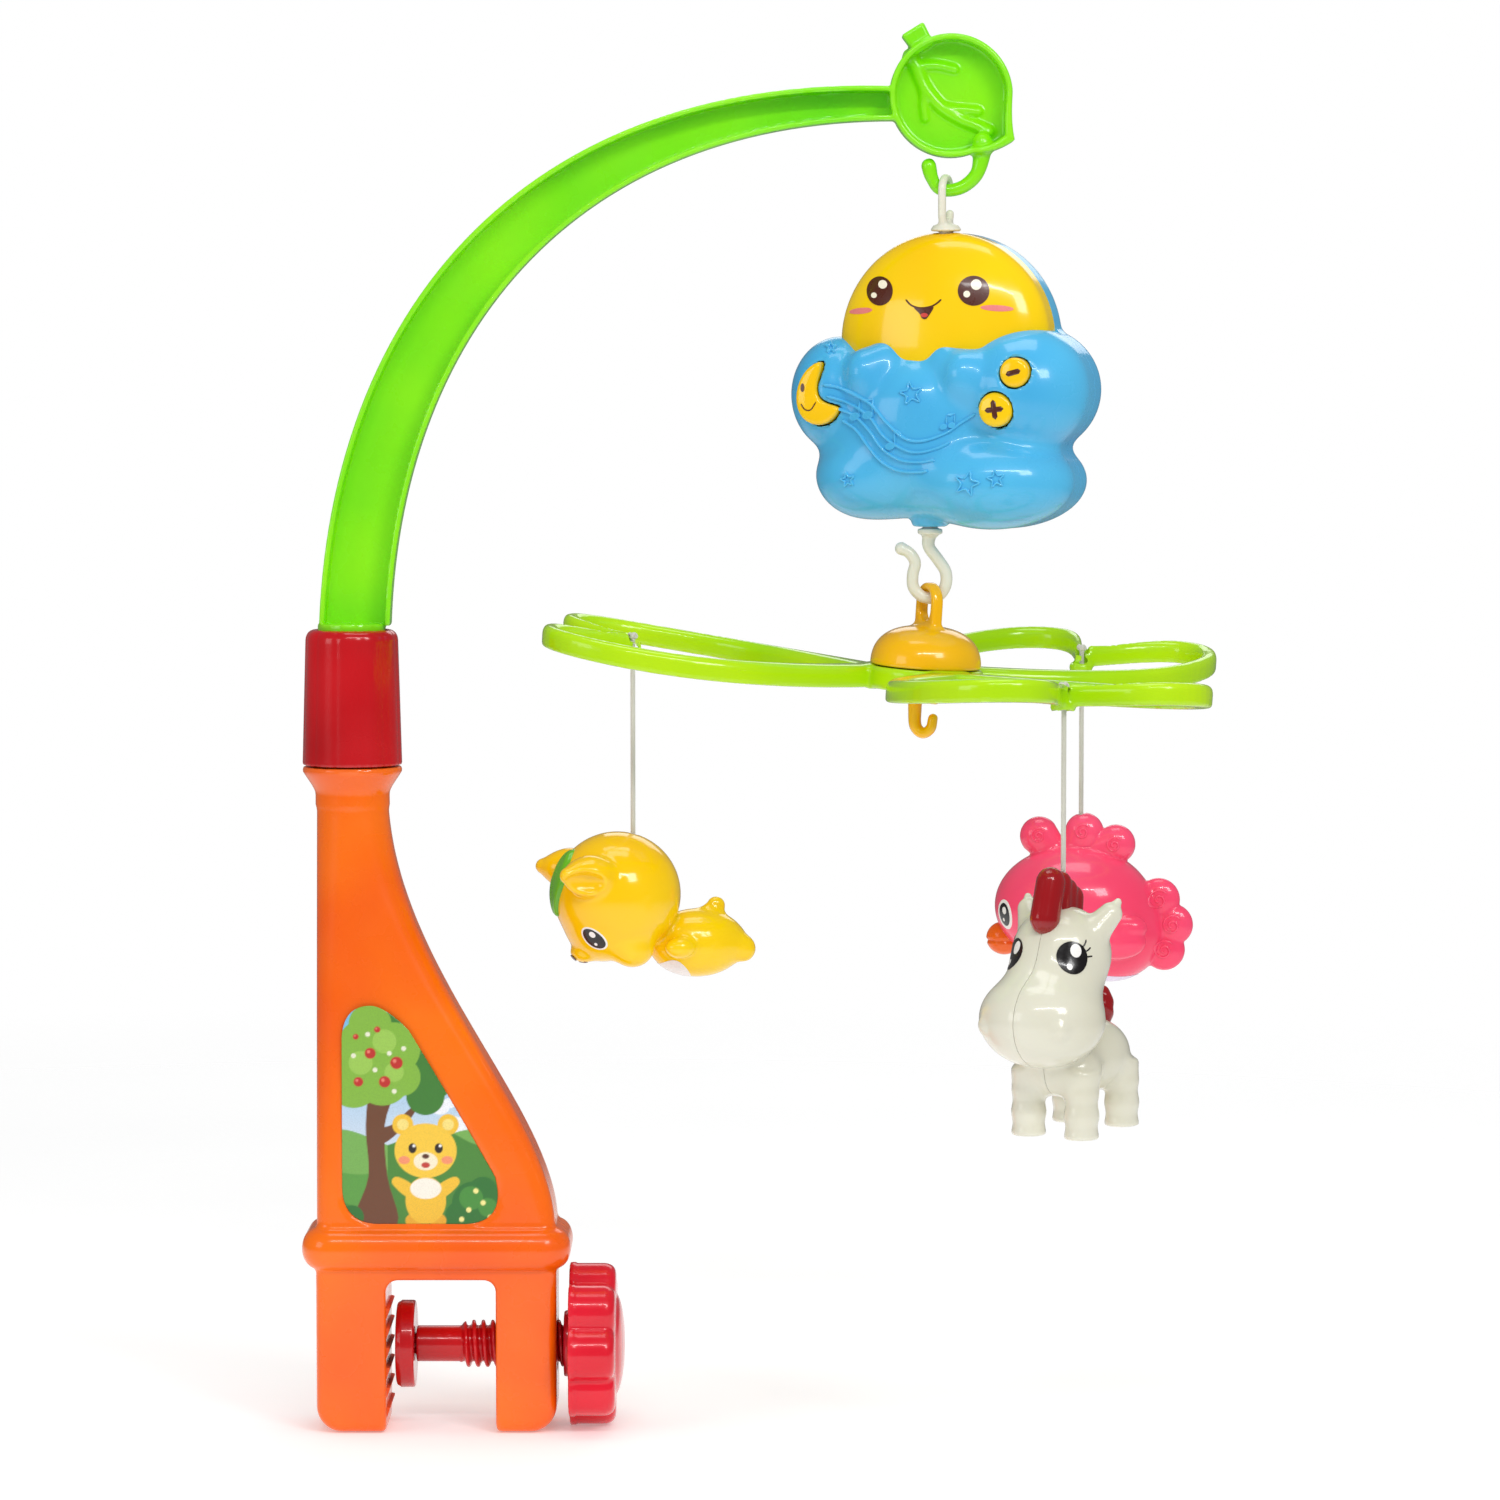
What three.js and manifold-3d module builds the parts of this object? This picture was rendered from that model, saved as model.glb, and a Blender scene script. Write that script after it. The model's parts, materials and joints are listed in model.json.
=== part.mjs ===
// Crib mobile: a rail clamp with a hooked arm, a hanging music box with a geared motor,
// a three-heart carousel and three hollow toy animals on cords.
// Millimetres, +Z up. The origin is the middle of the clamp's rail seat.
// +X points along the arm and -Y is the front.
import * as THREE from "three";
import { mergeVertices } from "three/addons/utils/BufferGeometryUtils.js";
import Module from "manifold-3d";

const wasm = await Module();
wasm.setup();

const DEG = Math.PI / 180;
const GAP = 0.3; // clearance between pieces that meet

// ---- driving dimensions ----
// rail clamp and upright
const JAW_HALF_GAP = 23; // half of the space between the two legs
const LEG_BOTTOM = -64.5;
const LEFT_SIDE = -52.5;
const RIGHT_SIDE = 48.5;
const BODY_HALF_DEPTH = 20;
const WALL = 2.6;
const BAND_Z = 13;
const BAND_RADIUS = 8.4;
const BAND_OUT = 6;
const LABEL_RECESS = 1.6;
const LABEL_THICKNESS = 0.6;
const BODY_FOOT = 8; // height where the tapering body starts, inside the band
const NECK_X = -37.2;
const NECK_RADIUS = 14.9;
const NECK_TOP = 205;
const RIDGE_TOP = -14; // saw teeth on the fixed jaw
const RIDGE_PITCH = 8;
const RIDGE_PROUD = 1.2;
const COLLAR_BOTTOM = 215.5;
const COLLAR_TOP = 273;
const COLLAR_RADIUS = 21;
const SPIGOT_RADIUS = 16;
const SPIGOT_TOP = 262;
const SOCKET_RADIUS = 13;
const COLLAR_FLUTES = 12;
const FLUTE_DEPTH = 0.35;
// clamp screw
const SCREW_Z = -30;
const PITCH = 4;
const SHAFT_RADIUS = 7.6;
const CREST_RADIUS = 10;
const PAD_LEFT = -19.5;
const PAD_THICKNESS = 8;
const PAD_RADIUS = 18.5;
const THREAD_START = 7;
const KNOB_LEFT = 53.5;
const KNOB_RADIUS = 34.5;
const KNOB_THICKNESS = 20;
const KNOB_LOBES = 8;
const NUT_HALF = 13.2;
const BALL_END_RADIUS = 4.2;
// screws of the shells
const HEAD_RADIUS = 3;
const HEAD_HEIGHT = 1.8;
const SHANK_RADIUS = 1.2;
const SINK_RADIUS = 3.6;
const PILOT_RADIUS = 1.6;
const POST_RADIUS = 4.2;
// arm
const ARM_HALF_DEPTH = 7;
const ARM_WALL = 2.3;
const LEAF_X = 213.4;
const LEAF_Z = 494.8;
const LEAF_RADIUS = 25.6;
const TWIG_RADIUS = 4.4;
const PLUG_RADIUS = 12.6;
// hanging line: the eye and the music box turn on one vertical line, the carousel on another
const EYE_X = 211.5;
const EYE_TOP_Z = 455.6; // centre of the arm hook's wire, which the eye hangs on
const HOOK_WIRE = 2.6;
const BOX_Z = 388;
const BOX_YAW = -20 * DEG;
const SHAFT_X = 205.2;
const SEAM_Y = 8; // where the front and rear shells of the music box meet
const BACK_Y = 26; // flat back of the music box
const DOOR = { x: 27, z0: -38, z1: 18 };
const DOOR_SCREW_Z = -32;
const BUTTON_TRAVEL_ROOM = 1.8;
// gear train
const MODULE = 0.8;
const WHEEL_TEETH = 24;
const PINION_TEETH = 8;
const GEAR_THICKNESS = 3;
const LEVELS = [-57, -53, -49]; // underside of each gear layer, in the music box's frame
const CENTRES = (MODULE * (WHEEL_TEETH + PINION_TEETH)) / 2 + 0.06;
const BACKLASH = 0.12;
const FRAME_THICKNESS = 1.8;
const AXLE_RADIUS = 0.9;
const SHAFT_STEM_RADIUS = 2.8;
// carousel
const S_HOOK_Z = 286; // lowest point of the centre line of the music box's hook
const S_HOOK_WIRE = 2.5;
const RIM_TOP = 256.6;
const RIM_HEIGHT = 9.4;
const CAROUSEL_TURN = -5.5 * DEG;
const TILT_LEFT_UP = 3.5 * DEG;
const TILT_FRONT_DOWN = 1.5 * DEG;
const LOOP_RISE = 5.8; // the loops curve upwards by this much where the cords hang
const LOOP_YAW = 25; // degrees that the hub's loop is turned from square to the drive hook
const CORD_REACH = 124;
const CORD_RADIUS = 0.9;
const CORD_KNOT = 2.2;
const HUB_RADIUS = 24.5;

// ---- materials ----
function plastic(colour, roughness = 0.35) {
  return new THREE.MeshStandardMaterial({ color: colour, roughness, metalness: 0 });
}
const orange = plastic(0xff6a08);
const red = plastic(0xd3101c);
const lime = plastic(0x86e80e);
const leafGreen = plastic(0xa6dc10);
const blue = plastic(0x45b3e6);
const yellow = plastic(0xfccb10);
const ivory = plastic(0xe9e6da);
const pink = plastic(0xff4f7d);
const black = plastic(0x222222, 0.5);
const boardGreen = plastic(0x1e6b3a, 0.5);
const printed = plastic(0x7fae4a, 0.45);
const cordWhite = plastic(0xd8d6cc, 0.9);
const steel = new THREE.MeshStandardMaterial({ color: 0xc9ccd0, roughness: 0.3, metalness: 1 });

// ---- solids ----
function solid(geometry) {
  const plain = new THREE.BufferGeometry();
  const source = geometry.index ? geometry.toNonIndexed() : geometry;
  plain.setAttribute("position", source.getAttribute("position"));
  const merged = mergeVertices(plain, 1e-4);
  const index = merged.index.array;
  const kept = [];
  for (let i = 0; i < index.length; i += 3) {
    const [a, b, c] = [index[i], index[i + 1], index[i + 2]];
    if (a !== b && b !== c && a !== c) kept.push(a, b, c);
  }
  const mesh = new wasm.Mesh({
    numProp: 3,
    vertProperties: merged.attributes.position.array,
    triVerts: new Uint32Array(kept),
  });
  return new wasm.Manifold(mesh);
}

function join(...parts) {
  return parts.reduce((whole, part) => whole.add(part));
}

function cut(whole, ...tools) {
  return tools.reduce((left, tool) => left.subtract(tool), whole);
}

function box(x0, x1, y0, y1, z0, z1) {
  const geometry = new THREE.BoxGeometry(x1 - x0, y1 - y0, z1 - z0);
  return solid(geometry.translate((x0 + x1) / 2, (y0 + y1) / 2, (z0 + z1) / 2));
}

function ellipsoid(centre, radii, around = 14) {
  const geometry = new THREE.SphereGeometry(1, around, Math.round(around * 0.6));
  geometry.rotateX(Math.PI / 2).scale(...radii);
  return solid(geometry.translate(...centre));
}

// A round bar between two points, with its own radius at each end.
function rod(from, to, radius, endRadius = radius, sides = 16) {
  const a = new THREE.Vector3(...from);
  const b = new THREE.Vector3(...to);
  const along = b.clone().sub(a);
  const geometry = new THREE.CylinderGeometry(endRadius, radius, along.length(), sides);
  const turn = new THREE.Quaternion();
  turn.setFromUnitVectors(new THREE.Vector3(0, 1, 0), along.clone().normalize());
  geometry.applyQuaternion(turn);
  const middle = a.add(b).multiplyScalar(0.5);
  return solid(geometry.translate(middle.x, middle.y, middle.z));
}

// A round wire along a curve, with ball ends.
function wire(curve, radius, steps, sides = 10) {
  const circle = new THREE.Shape().absarc(0, 0, radius, 0, 2 * Math.PI);
  const settings = { steps, extrudePath: curve, curveSegments: sides / 2 };
  const ball = (p) => ellipsoid(p.toArray(), [radius, radius, radius], 6);
  const ends = [curve.getPoint(0), curve.getPoint(1)].map(ball);
  return join(solid(new THREE.ExtrudeGeometry(circle, settings)), ...ends);
}

function smoothPath(points) {
  return new THREE.CatmullRomCurve3(points.map((p) => new THREE.Vector3(...p)));
}

// Turned about +Z: the profile is [radius, height] pairs that start and end on the axis.
function turned(profile, sides = 24) {
  const points = profile.map(([r, z]) => new THREE.Vector2(r, z));
  const spin = () => solid(new THREE.LatheGeometry(points, sides).rotateX(Math.PI / 2));
  const made = spin();
  if (made.volume() > 0) return made;
  points.reverse();
  return spin();
}

// A flat outline in X and Z, given thickness from y0 to y1.
function slab(shape, y0, y1, curveSegments = 6) {
  const geometry = new THREE.ExtrudeGeometry(shape, { depth: y1 - y0, bevelEnabled: false, curveSegments });
  return solid(geometry.rotateX(Math.PI / 2).translate(0, y1, 0));
}

// A flat outline in X and Y, given height from z0 to z1.
function plate(shape, z0, z1, curveSegments = 6) {
  const geometry = new THREE.ExtrudeGeometry(shape, { depth: z1 - z0, bevelEnabled: false, curveSegments });
  return solid(geometry.translate(0, 0, z0));
}

// A closed body through a stack of rings that all have the same number of points.
function loft(rings) {
  const sides = rings[0].length;
  const points = rings.flat();
  const index = [];
  for (let r = 0; r + 1 < rings.length; r++)
    for (let i = 0; i < sides; i++) {
      const a = r * sides + i;
      const b = r * sides + ((i + 1) % sides);
      index.push(a, b, b + sides, a, b + sides, a + sides);
    }
  for (let i = 1; i + 1 < sides; i++) {
    index.push(0, i + 1, i);
    const top = (rings.length - 1) * sides;
    index.push(top, top + i, top + i + 1);
  }
  const geometry = new THREE.BufferGeometry();
  geometry.setAttribute("position", new THREE.Float32BufferAttribute(points.flat(), 3));
  geometry.setIndex(index);
  const made = solid(geometry);
  if (made.volume() > 0) return made;
  geometry.setIndex(index.reverse());
  return solid(geometry);
}

// One level ring: a rounded rectangle (power above 2) or an ellipse (power 2).
function ring(x0, x1, halfDepth, z, power, sides = 16) {
  const points = [];
  for (let i = 0; i < sides; i++) {
    const angle = (2 * Math.PI * i) / sides;
    const [c, s] = [Math.cos(angle), Math.sin(angle)];
    const x = Math.sign(c) * Math.abs(c) ** (2 / power);
    const y = Math.sign(s) * Math.abs(s) ** (2 / power);
    points.push([(x0 + x1) / 2 + (x * (x1 - x0)) / 2, y * halfDepth, z]);
  }
  return points;
}

function keepFront(whole, y = 0) {
  return whole.trimByPlane([0, -1, 0], -(y - GAP / 2));
}

function keepRear(whole, y = 0) {
  return whole.trimByPlane([0, 1, 0], y + GAP / 2);
}

const root = new THREE.Group();

function put(name, made, material, group = root) {
  const data = made.getMesh();
  const positions = new Float32Array(data.numVert * 3);
  for (let i = 0; i < data.numVert; i++) {
    positions.set(data.vertProperties.subarray(i * data.numProp, i * data.numProp + 3), i * 3);
  }
  const geometry = new THREE.BufferGeometry();
  geometry.setAttribute("position", new THREE.BufferAttribute(positions, 3));
  geometry.setIndex(new THREE.BufferAttribute(data.triVerts, 1));
  geometry.computeVertexNormals();
  const mesh = new THREE.Mesh(geometry, material);
  mesh.name = name;
  group.add(mesh);
  return mesh;
}

// A screw driven in from the rear, along -Y.
function screwSolid(x, z, headY, length) {
  const bar = rod([x, headY, z], [x, headY - length, z], SHANK_RADIUS, SHANK_RADIUS * 0.6, 6);
  const top = [x, headY + HEAD_HEIGHT, z];
  return join(bar, rod([x, headY - 0.1, z], top, HEAD_RADIUS, HEAD_RADIUS, 8));
}

// A round tool along Y that starts at a depth and leaves through the back.
function boreAt(x, z, fromY, radius, sides) {
  return rod([x, fromY, z], [x, 40, z], radius, radius, sides);
}

// ---- upright ----
// Right-hand edge of the upright's body: a slow S from the wide foot to the round neck.
const bodyEdge = new THREE.CubicBezierCurve(
  new THREE.Vector2(RIGHT_SIDE - 0.3, BODY_FOOT + 12),
  new THREE.Vector2(RIGHT_SIDE - 1, 70),
  new THREE.Vector2(NECK_X + NECK_RADIUS, 130),
  new THREE.Vector2(NECK_X + NECK_RADIUS, NECK_TOP),
);

function uprightBody(inset) {
  const rings = [];
  const steps = inset > 0 ? 4 : 8;
  const foot = BODY_FOOT + inset;
  const left = NECK_X - NECK_RADIUS + inset;
  rings.push(ring(left, RIGHT_SIDE - 0.3 - inset, BODY_HALF_DEPTH - inset, foot, 5));
  for (let i = 0; i <= steps; i++) {
    const p = bodyEdge.getPoint(i / steps);
    const rise = (p.y - BODY_FOOT) / (NECK_TOP - BODY_FOOT);
    const depth = BODY_HALF_DEPTH + (NECK_RADIUS - BODY_HALF_DEPTH) * rise;
    rings.push(ring(left, p.x - inset, depth - inset, p.y, 5 - 3 * rise));
  }
  return loft(rings);
}

function foot() {
  const shape = new THREE.Shape();
  const round = 12;
  shape.moveTo(LEFT_SIDE, BAND_Z);
  shape.lineTo(LEFT_SIDE, LEG_BOTTOM + round);
  shape.quadraticCurveTo(LEFT_SIDE + 1, LEG_BOTTOM, LEFT_SIDE + round, LEG_BOTTOM);
  shape.lineTo(-JAW_HALF_GAP, LEG_BOTTOM);
  shape.lineTo(-JAW_HALF_GAP, -4);
  shape.quadraticCurveTo(-JAW_HALF_GAP, 0, -JAW_HALF_GAP + 4, 0);
  shape.lineTo(JAW_HALF_GAP - 4, 0);
  shape.quadraticCurveTo(JAW_HALF_GAP, 0, JAW_HALF_GAP, -4);
  shape.lineTo(JAW_HALF_GAP, LEG_BOTTOM);
  shape.lineTo(RIGHT_SIDE - round, LEG_BOTTOM);
  shape.quadraticCurveTo(RIGHT_SIDE - 1, LEG_BOTTOM, RIGHT_SIDE, LEG_BOTTOM + round);
  shape.lineTo(RIGHT_SIDE, BAND_Z);
  return slab(shape, -BODY_HALF_DEPTH, BODY_HALF_DEPTH, 3);
}

function band() {
  const rings = [];
  const steps = 4;
  for (let i = 0; i <= steps; i++) {
    const angle = -Math.PI / 2 + (Math.PI * i) / steps;
    const out = BAND_OUT * Math.cos(angle);
    const z = BAND_Z + BAND_RADIUS * Math.sin(angle);
    rings.push(ring(LEFT_SIDE - out, RIGHT_SIDE + out, BODY_HALF_DEPTH + out, z, 5));
  }
  return loft(rings);
}

function neckEnd() {
  const profile = [
    [0, NECK_TOP - 4],
    [NECK_RADIUS, NECK_TOP - 4],
    [NECK_RADIUS, NECK_TOP],
    [COLLAR_RADIUS, COLLAR_BOTTOM - GAP - 2],
    [COLLAR_RADIUS, COLLAR_BOTTOM - GAP],
    [SPIGOT_RADIUS, COLLAR_BOTTOM - GAP],
    [SPIGOT_RADIUS, SPIGOT_TOP],
    [0, SPIGOT_TOP],
  ];
  return turned(profile, 18).translate([NECK_X, 0, 0]);
}

const uprightScrews = [
  [NECK_X, 170],
  [-38, 34],
  [30, 34],
  [-38, -44],
];

function makeUpright() {
  const outer = join(uprightBody(0), foot(), band(), neckEnd());
  const socketFrom = [NECK_X, 0, SPIGOT_TOP - 40];
  const socket = rod(socketFrom, [NECK_X, 0, SPIGOT_TOP + 1], SOCKET_RADIUS, SOCKET_RADIUS, 16);
  const legPocketLeft = box(LEFT_SIDE + WALL, -JAW_HALF_GAP - WALL, -17, 17, LEG_BOTTOM + 9, 2);
  const hollow = join(uprightBody(WALL), socket, legPocketLeft);
  const posts = uprightScrews.map(([x, z]) => boreAt(x, z, -30, POST_RADIUS, 6));
  let shell = cut(outer, cut(hollow, ...posts));
  // the nut's pocket and the screw's way through the right leg
  const right = (JAW_HALF_GAP + RIGHT_SIDE) / 2;
  const nutBlock = (halfWide, half) =>
    box(right - halfWide, right + halfWide, -half, half, SCREW_Z - half, SCREW_Z + half);
  const free = CREST_RADIUS + 0.6;
  const passage = rod([JAW_HALF_GAP - 5, 0, SCREW_Z], [RIGHT_SIDE + 5, 0, SCREW_Z], free, free, 16);
  shell = cut(shell, nutBlock(9, NUT_HALF + GAP), passage);
  // the printed label's recess
  shell = cut(shell, labelSolid(0.35, -BODY_HALF_DEPTH - 3, LABEL_FLOOR));
  // saw-tooth ridges on the fixed jaw
  const ridges = [];
  for (let k = 0; k < 6; k++) {
    const z = RIDGE_TOP - RIDGE_PITCH * k;
    const tooth = new THREE.Shape();
    tooth.moveTo(-JAW_HALF_GAP - 1, z);
    tooth.lineTo(-JAW_HALF_GAP + RIDGE_PROUD, z);
    tooth.lineTo(-JAW_HALF_GAP - 1, z - 6);
    ridges.push(slab(tooth, -16, 16));
  }
  shell = join(shell, ...ridges);
  const pilots = uprightScrews.map(([x, z]) => boreAt(x, z, -14, PILOT_RADIUS, 6));
  const recesses = uprightScrews.map(([x, z]) => boreAt(x, z, 8, SINK_RADIUS, 8));
  shell = cut(shell, ...pilots, ...recesses);
  put("upright_front_shell", keepFront(shell), orange);
  put("upright_rear_shell", keepRear(shell), orange);
  const labelBack = LABEL_FLOOR - GAP;
  put("picture_label", labelSolid(0, labelBack - LABEL_THICKNESS, labelBack), printed);
  const tapped = threadedBar(right - 10, right + 10, 0.8);
  put("clamp_nut", cut(nutBlock(8.7, NUT_HALF), tapped), ivory);
  uprightScrews.forEach(([x, z], i) => {
    put(`upright_screw_${i + 1}`, screwSolid(x, z, 8 + GAP, 19), steel);
  });
}

// ---- printed label ----
const LABEL_FLOOR = -BODY_HALF_DEPTH + LABEL_RECESS;

function labelSolid(grow, y0, y1) {
  const shape = new THREE.Shape();
  const [left, right, low, high] = [-41 - grow, 26 + grow, 24 - grow, 116 + grow];
  shape.moveTo(left, low + 16);
  shape.quadraticCurveTo(left, low, left + 16, low);
  shape.lineTo(right - 15, low);
  shape.quadraticCurveTo(right + 2, low + 1, right - 3, low + 20);
  shape.quadraticCurveTo(4, 78, left + 28, high - 10);
  shape.quadraticCurveTo(left + 18, high, left + 12, high);
  shape.quadraticCurveTo(left, high, left, high - 16);
  return slab(shape, y0, y1, 6);
}

// ---- collar ----
function makeCollar() {
  const sides = COLLAR_FLUTES * 4;
  const rings = [COLLAR_BOTTOM, COLLAR_TOP - 5, COLLAR_TOP].map((z, level) => {
    const radius = [COLLAR_RADIUS, COLLAR_RADIUS - 1.4, COLLAR_RADIUS - 2.6][level];
    const points = [];
    for (let i = 0; i < sides; i++) {
      const angle = (2 * Math.PI * i) / sides;
      const r = radius - FLUTE_DEPTH + FLUTE_DEPTH * Math.cos(COLLAR_FLUTES * angle);
      points.push([NECK_X + r * Math.cos(angle), r * Math.sin(angle), z]);
    }
    return points;
  });
  const free = SPIGOT_RADIUS + 0.4;
  const bore = rod([NECK_X, 0, COLLAR_BOTTOM - 1], [NECK_X, 0, COLLAR_TOP - 4], free, free, 20);
  const mouth = rod([NECK_X, 0, COLLAR_TOP - 6], [NECK_X, 0, COLLAR_TOP + 1], 15, 15, 20);
  put("collar", cut(loft(rings), bore, mouth), red);
}

// ---- clamp screw ----
// A bar along X with a helical thread; grow widens it for the nut that it runs in.
function threadedBar(from, to, grow) {
  const sides = 10;
  const ringsPerTurn = 4;
  const middle = (SHAFT_RADIUS + CREST_RADIUS) / 2 + grow;
  const depth = (CREST_RADIUS - SHAFT_RADIUS) / 2;
  const rings = [];
  for (let x = from; x <= to; x += PITCH / ringsPerTurn) {
    const section = [];
    for (let i = 0; i < sides; i++) {
      const angle = (2 * Math.PI * i) / sides;
      const r = middle + depth * Math.cos((2 * Math.PI * x) / PITCH - angle);
      section.push([x, r * Math.cos(angle), SCREW_Z + r * Math.sin(angle)]);
    }
    rings.push(section);
  }
  return loft(rings);
}

function makeClampScrew() {
  const padRight = PAD_LEFT + PAD_THICKNESS;
  const disc = join(
    rod([PAD_LEFT, 0, SCREW_Z], [PAD_LEFT + 1.5, 0, SCREW_Z], PAD_RADIUS - 1.5, PAD_RADIUS, 20),
    rod([PAD_LEFT + 1.5, 0, SCREW_Z], [padRight, 0, SCREW_Z], PAD_RADIUS, PAD_RADIUS, 20),
  );
  // the screw's ball end snaps into the pad, which doesn't turn
  const seatRadius = BALL_END_RADIUS + 0.4;
  const seat = rod([padRight - 5, 0, SCREW_Z], [padRight + 1, 0, SCREW_Z], seatRadius, seatRadius, 12);
  put("pressure_pad", cut(disc, seat), red);
  const bar = (x0, x1, r, sides) => rod([x0, 0, SCREW_Z], [x1, 0, SCREW_Z], r, r, sides);
  const tip = bar(padRight - 4.6, padRight + 2, BALL_END_RADIUS, 12);
  const plain = bar(padRight + GAP, THREAD_START + 1, SHAFT_RADIUS, 12);
  const thread = threadedBar(THREAD_START, RIGHT_SIDE + 2, 0);
  const tail = bar(RIGHT_SIDE + 1, KNOB_LEFT + 12, SHAFT_RADIUS - 0.6, 6);
  put("clamp_screw", join(tip, plain, thread, tail), red);
  put("knob", knobSolid(), red);
}

function knobSolid() {
  const perLobe = 4;
  const sides = KNOB_LOBES * perLobe;
  const section = (x, scale) => {
    const points = [];
    for (let i = 0; i < sides; i++) {
      const angle = (2 * Math.PI * i) / sides;
      const wave = Math.abs(Math.cos((KNOB_LOBES / 2) * angle));
      const r = KNOB_RADIUS * scale * (0.87 + 0.13 * wave ** 0.7);
      points.push([x, r * Math.cos(angle), SCREW_Z + r * Math.sin(angle)]);
    }
    return points;
  };
  const right = KNOB_LEFT + KNOB_THICKNESS;
  const rings = [section(KNOB_LEFT, 1), section(right - 4, 0.97), section(right, 0.84)];
  const dome = ellipsoid([right - 1, 0, SCREW_Z], [4.5, 22, 22], 14);
  const collar = rod([RIGHT_SIDE + 2.6, 0, SCREW_Z], [KNOB_LEFT + 1, 0, SCREW_Z], 14, 14, 16);
  const hollow = cut(
    rod([KNOB_LEFT - 1, 0, SCREW_Z], [right - 6, 0, SCREW_Z], 27, 26, 12),
    rod([KNOB_LEFT - 2, 0, SCREW_Z], [right, 0, SCREW_Z], 11, 11, 16),
  );
  const socketRadius = SHAFT_RADIUS - 0.3;
  const socketEnd = [KNOB_LEFT + 12.5, 0, SCREW_Z];
  const socket = rod([RIGHT_SIDE, 0, SCREW_Z], socketEnd, socketRadius, socketRadius, 6);
  return cut(join(loft(rings), dome, collar), cut(hollow, collar), socket);
}

// ---- arm ----
const outerEdge = new THREE.CubicBezierCurve(
  new THREE.Vector2(-50.5, 274.3),
  new THREE.Vector2(-44.7, 414.1),
  new THREE.Vector2(43.7, 504),
  new THREE.Vector2(190.4, 498.6),
);
const innerEdge = new THREE.CubicBezierCurve(
  new THREE.Vector2(-20.8, 274.3),
  new THREE.Vector2(-16.4, 397.4),
  new THREE.Vector2(58.7, 485.1),
  new THREE.Vector2(191, 484.5),
);

function leafShape(inset) {
  const shape = new THREE.Shape();
  const r = LEAF_RADIUS - inset;
  const tip = new THREE.Vector2(LEAF_X + 26.5 - inset * 1.6, LEAF_Z - 18.5 + inset * 0.9);
  shape.moveTo(tip.x, tip.y);
  shape.quadraticCurveTo(LEAF_X + r - 1, LEAF_Z - 11, LEAF_X + r, LEAF_Z + 2);
  shape.absarc(LEAF_X, LEAF_Z, r, 0.08, 1.62 * Math.PI, false);
  shape.quadraticCurveTo(LEAF_X + r * 0.7, LEAF_Z - r * 0.95, tip.x, tip.y);
  return shape;
}

function armHookPath() {
  const z = EYE_TOP_Z;
  return smoothPath([
    [LEAF_X + 15, 0, z + 18],
    [LEAF_X + 13.5, 0, z + 10],
    [LEAF_X + 8.5, 0, z + 3],
    [EYE_X + 3, 0, z + 0.2],
    [EYE_X - 3, 0, z + 1],
    [EYE_X - 6, 0, z + 6],
    [EYE_X - 7, 0, z + 10.5],
  ]);
}

function makeArm() {
  const steps = 11;
  const outline = new THREE.Shape(outerEdge.getPoints(steps).concat(innerEdge.getPoints(steps).reverse()));
  const bar = slab(outline, -ARM_HALF_DEPTH, ARM_HALF_DEPTH);
  const along = Array.from({ length: steps + 1 }, (_, i) => i / steps);
  const outside = [];
  const inside = [];
  for (const t of along) {
    const [a, b] = [outerEdge.getPoint(t), innerEdge.getPoint(t)];
    const across = b.clone().sub(a).normalize().multiplyScalar(ARM_WALL);
    outside.push(a.clone().add(across));
    inside.push(b.clone().sub(across));
  }
  const troughShape = new THREE.Shape(outside.concat(inside.reverse()));
  const trough = slab(troughShape, -ARM_HALF_DEPTH - 1, ARM_HALF_DEPTH - ARM_WALL);
  const dish = slab(leafShape(0), -ARM_HALF_DEPTH - 0.5, ARM_HALF_DEPTH, 7);
  const bowl = slab(leafShape(ARM_WALL + 0.4), -ARM_HALF_DEPTH - 2, ARM_HALF_DEPTH - ARM_WALL, 7);
  const twigTip = [LEAF_X - 17, 0, LEAF_Z + 27.6];
  const twig = rod([LEAF_X - 11.5, 0, LEAF_Z + 19], twigTip, TWIG_RADIUS, TWIG_RADIUS + 1, 8);
  const channel = cut(join(cut(bar, trough), dish), bowl);
  const hook = wire(armHookPath(), HOOK_WIRE, 13, 8);
  // plug that the collar holds in the upright's socket
  const plug = join(
    rod([NECK_X, 0, COLLAR_TOP - 50], [NECK_X, 0, SPIGOT_TOP + GAP], PLUG_RADIUS, PLUG_RADIUS, 10),
    rod([NECK_X, 0, SPIGOT_TOP + GAP], [NECK_X, 0, SPIGOT_TOP + 3.3], 15.8, 15.8, 16),
    rod([NECK_X, 0, SPIGOT_TOP + 3], [NECK_X, 0, COLLAR_TOP + 2.4], 14.4, 14.4, 16),
  );
  const trimmedTwig = cut(twig, slab(leafShape(1), -20, 20, 6));
  put("arm", join(channel, trimmedTwig, hook, plug), lime);
}

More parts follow.
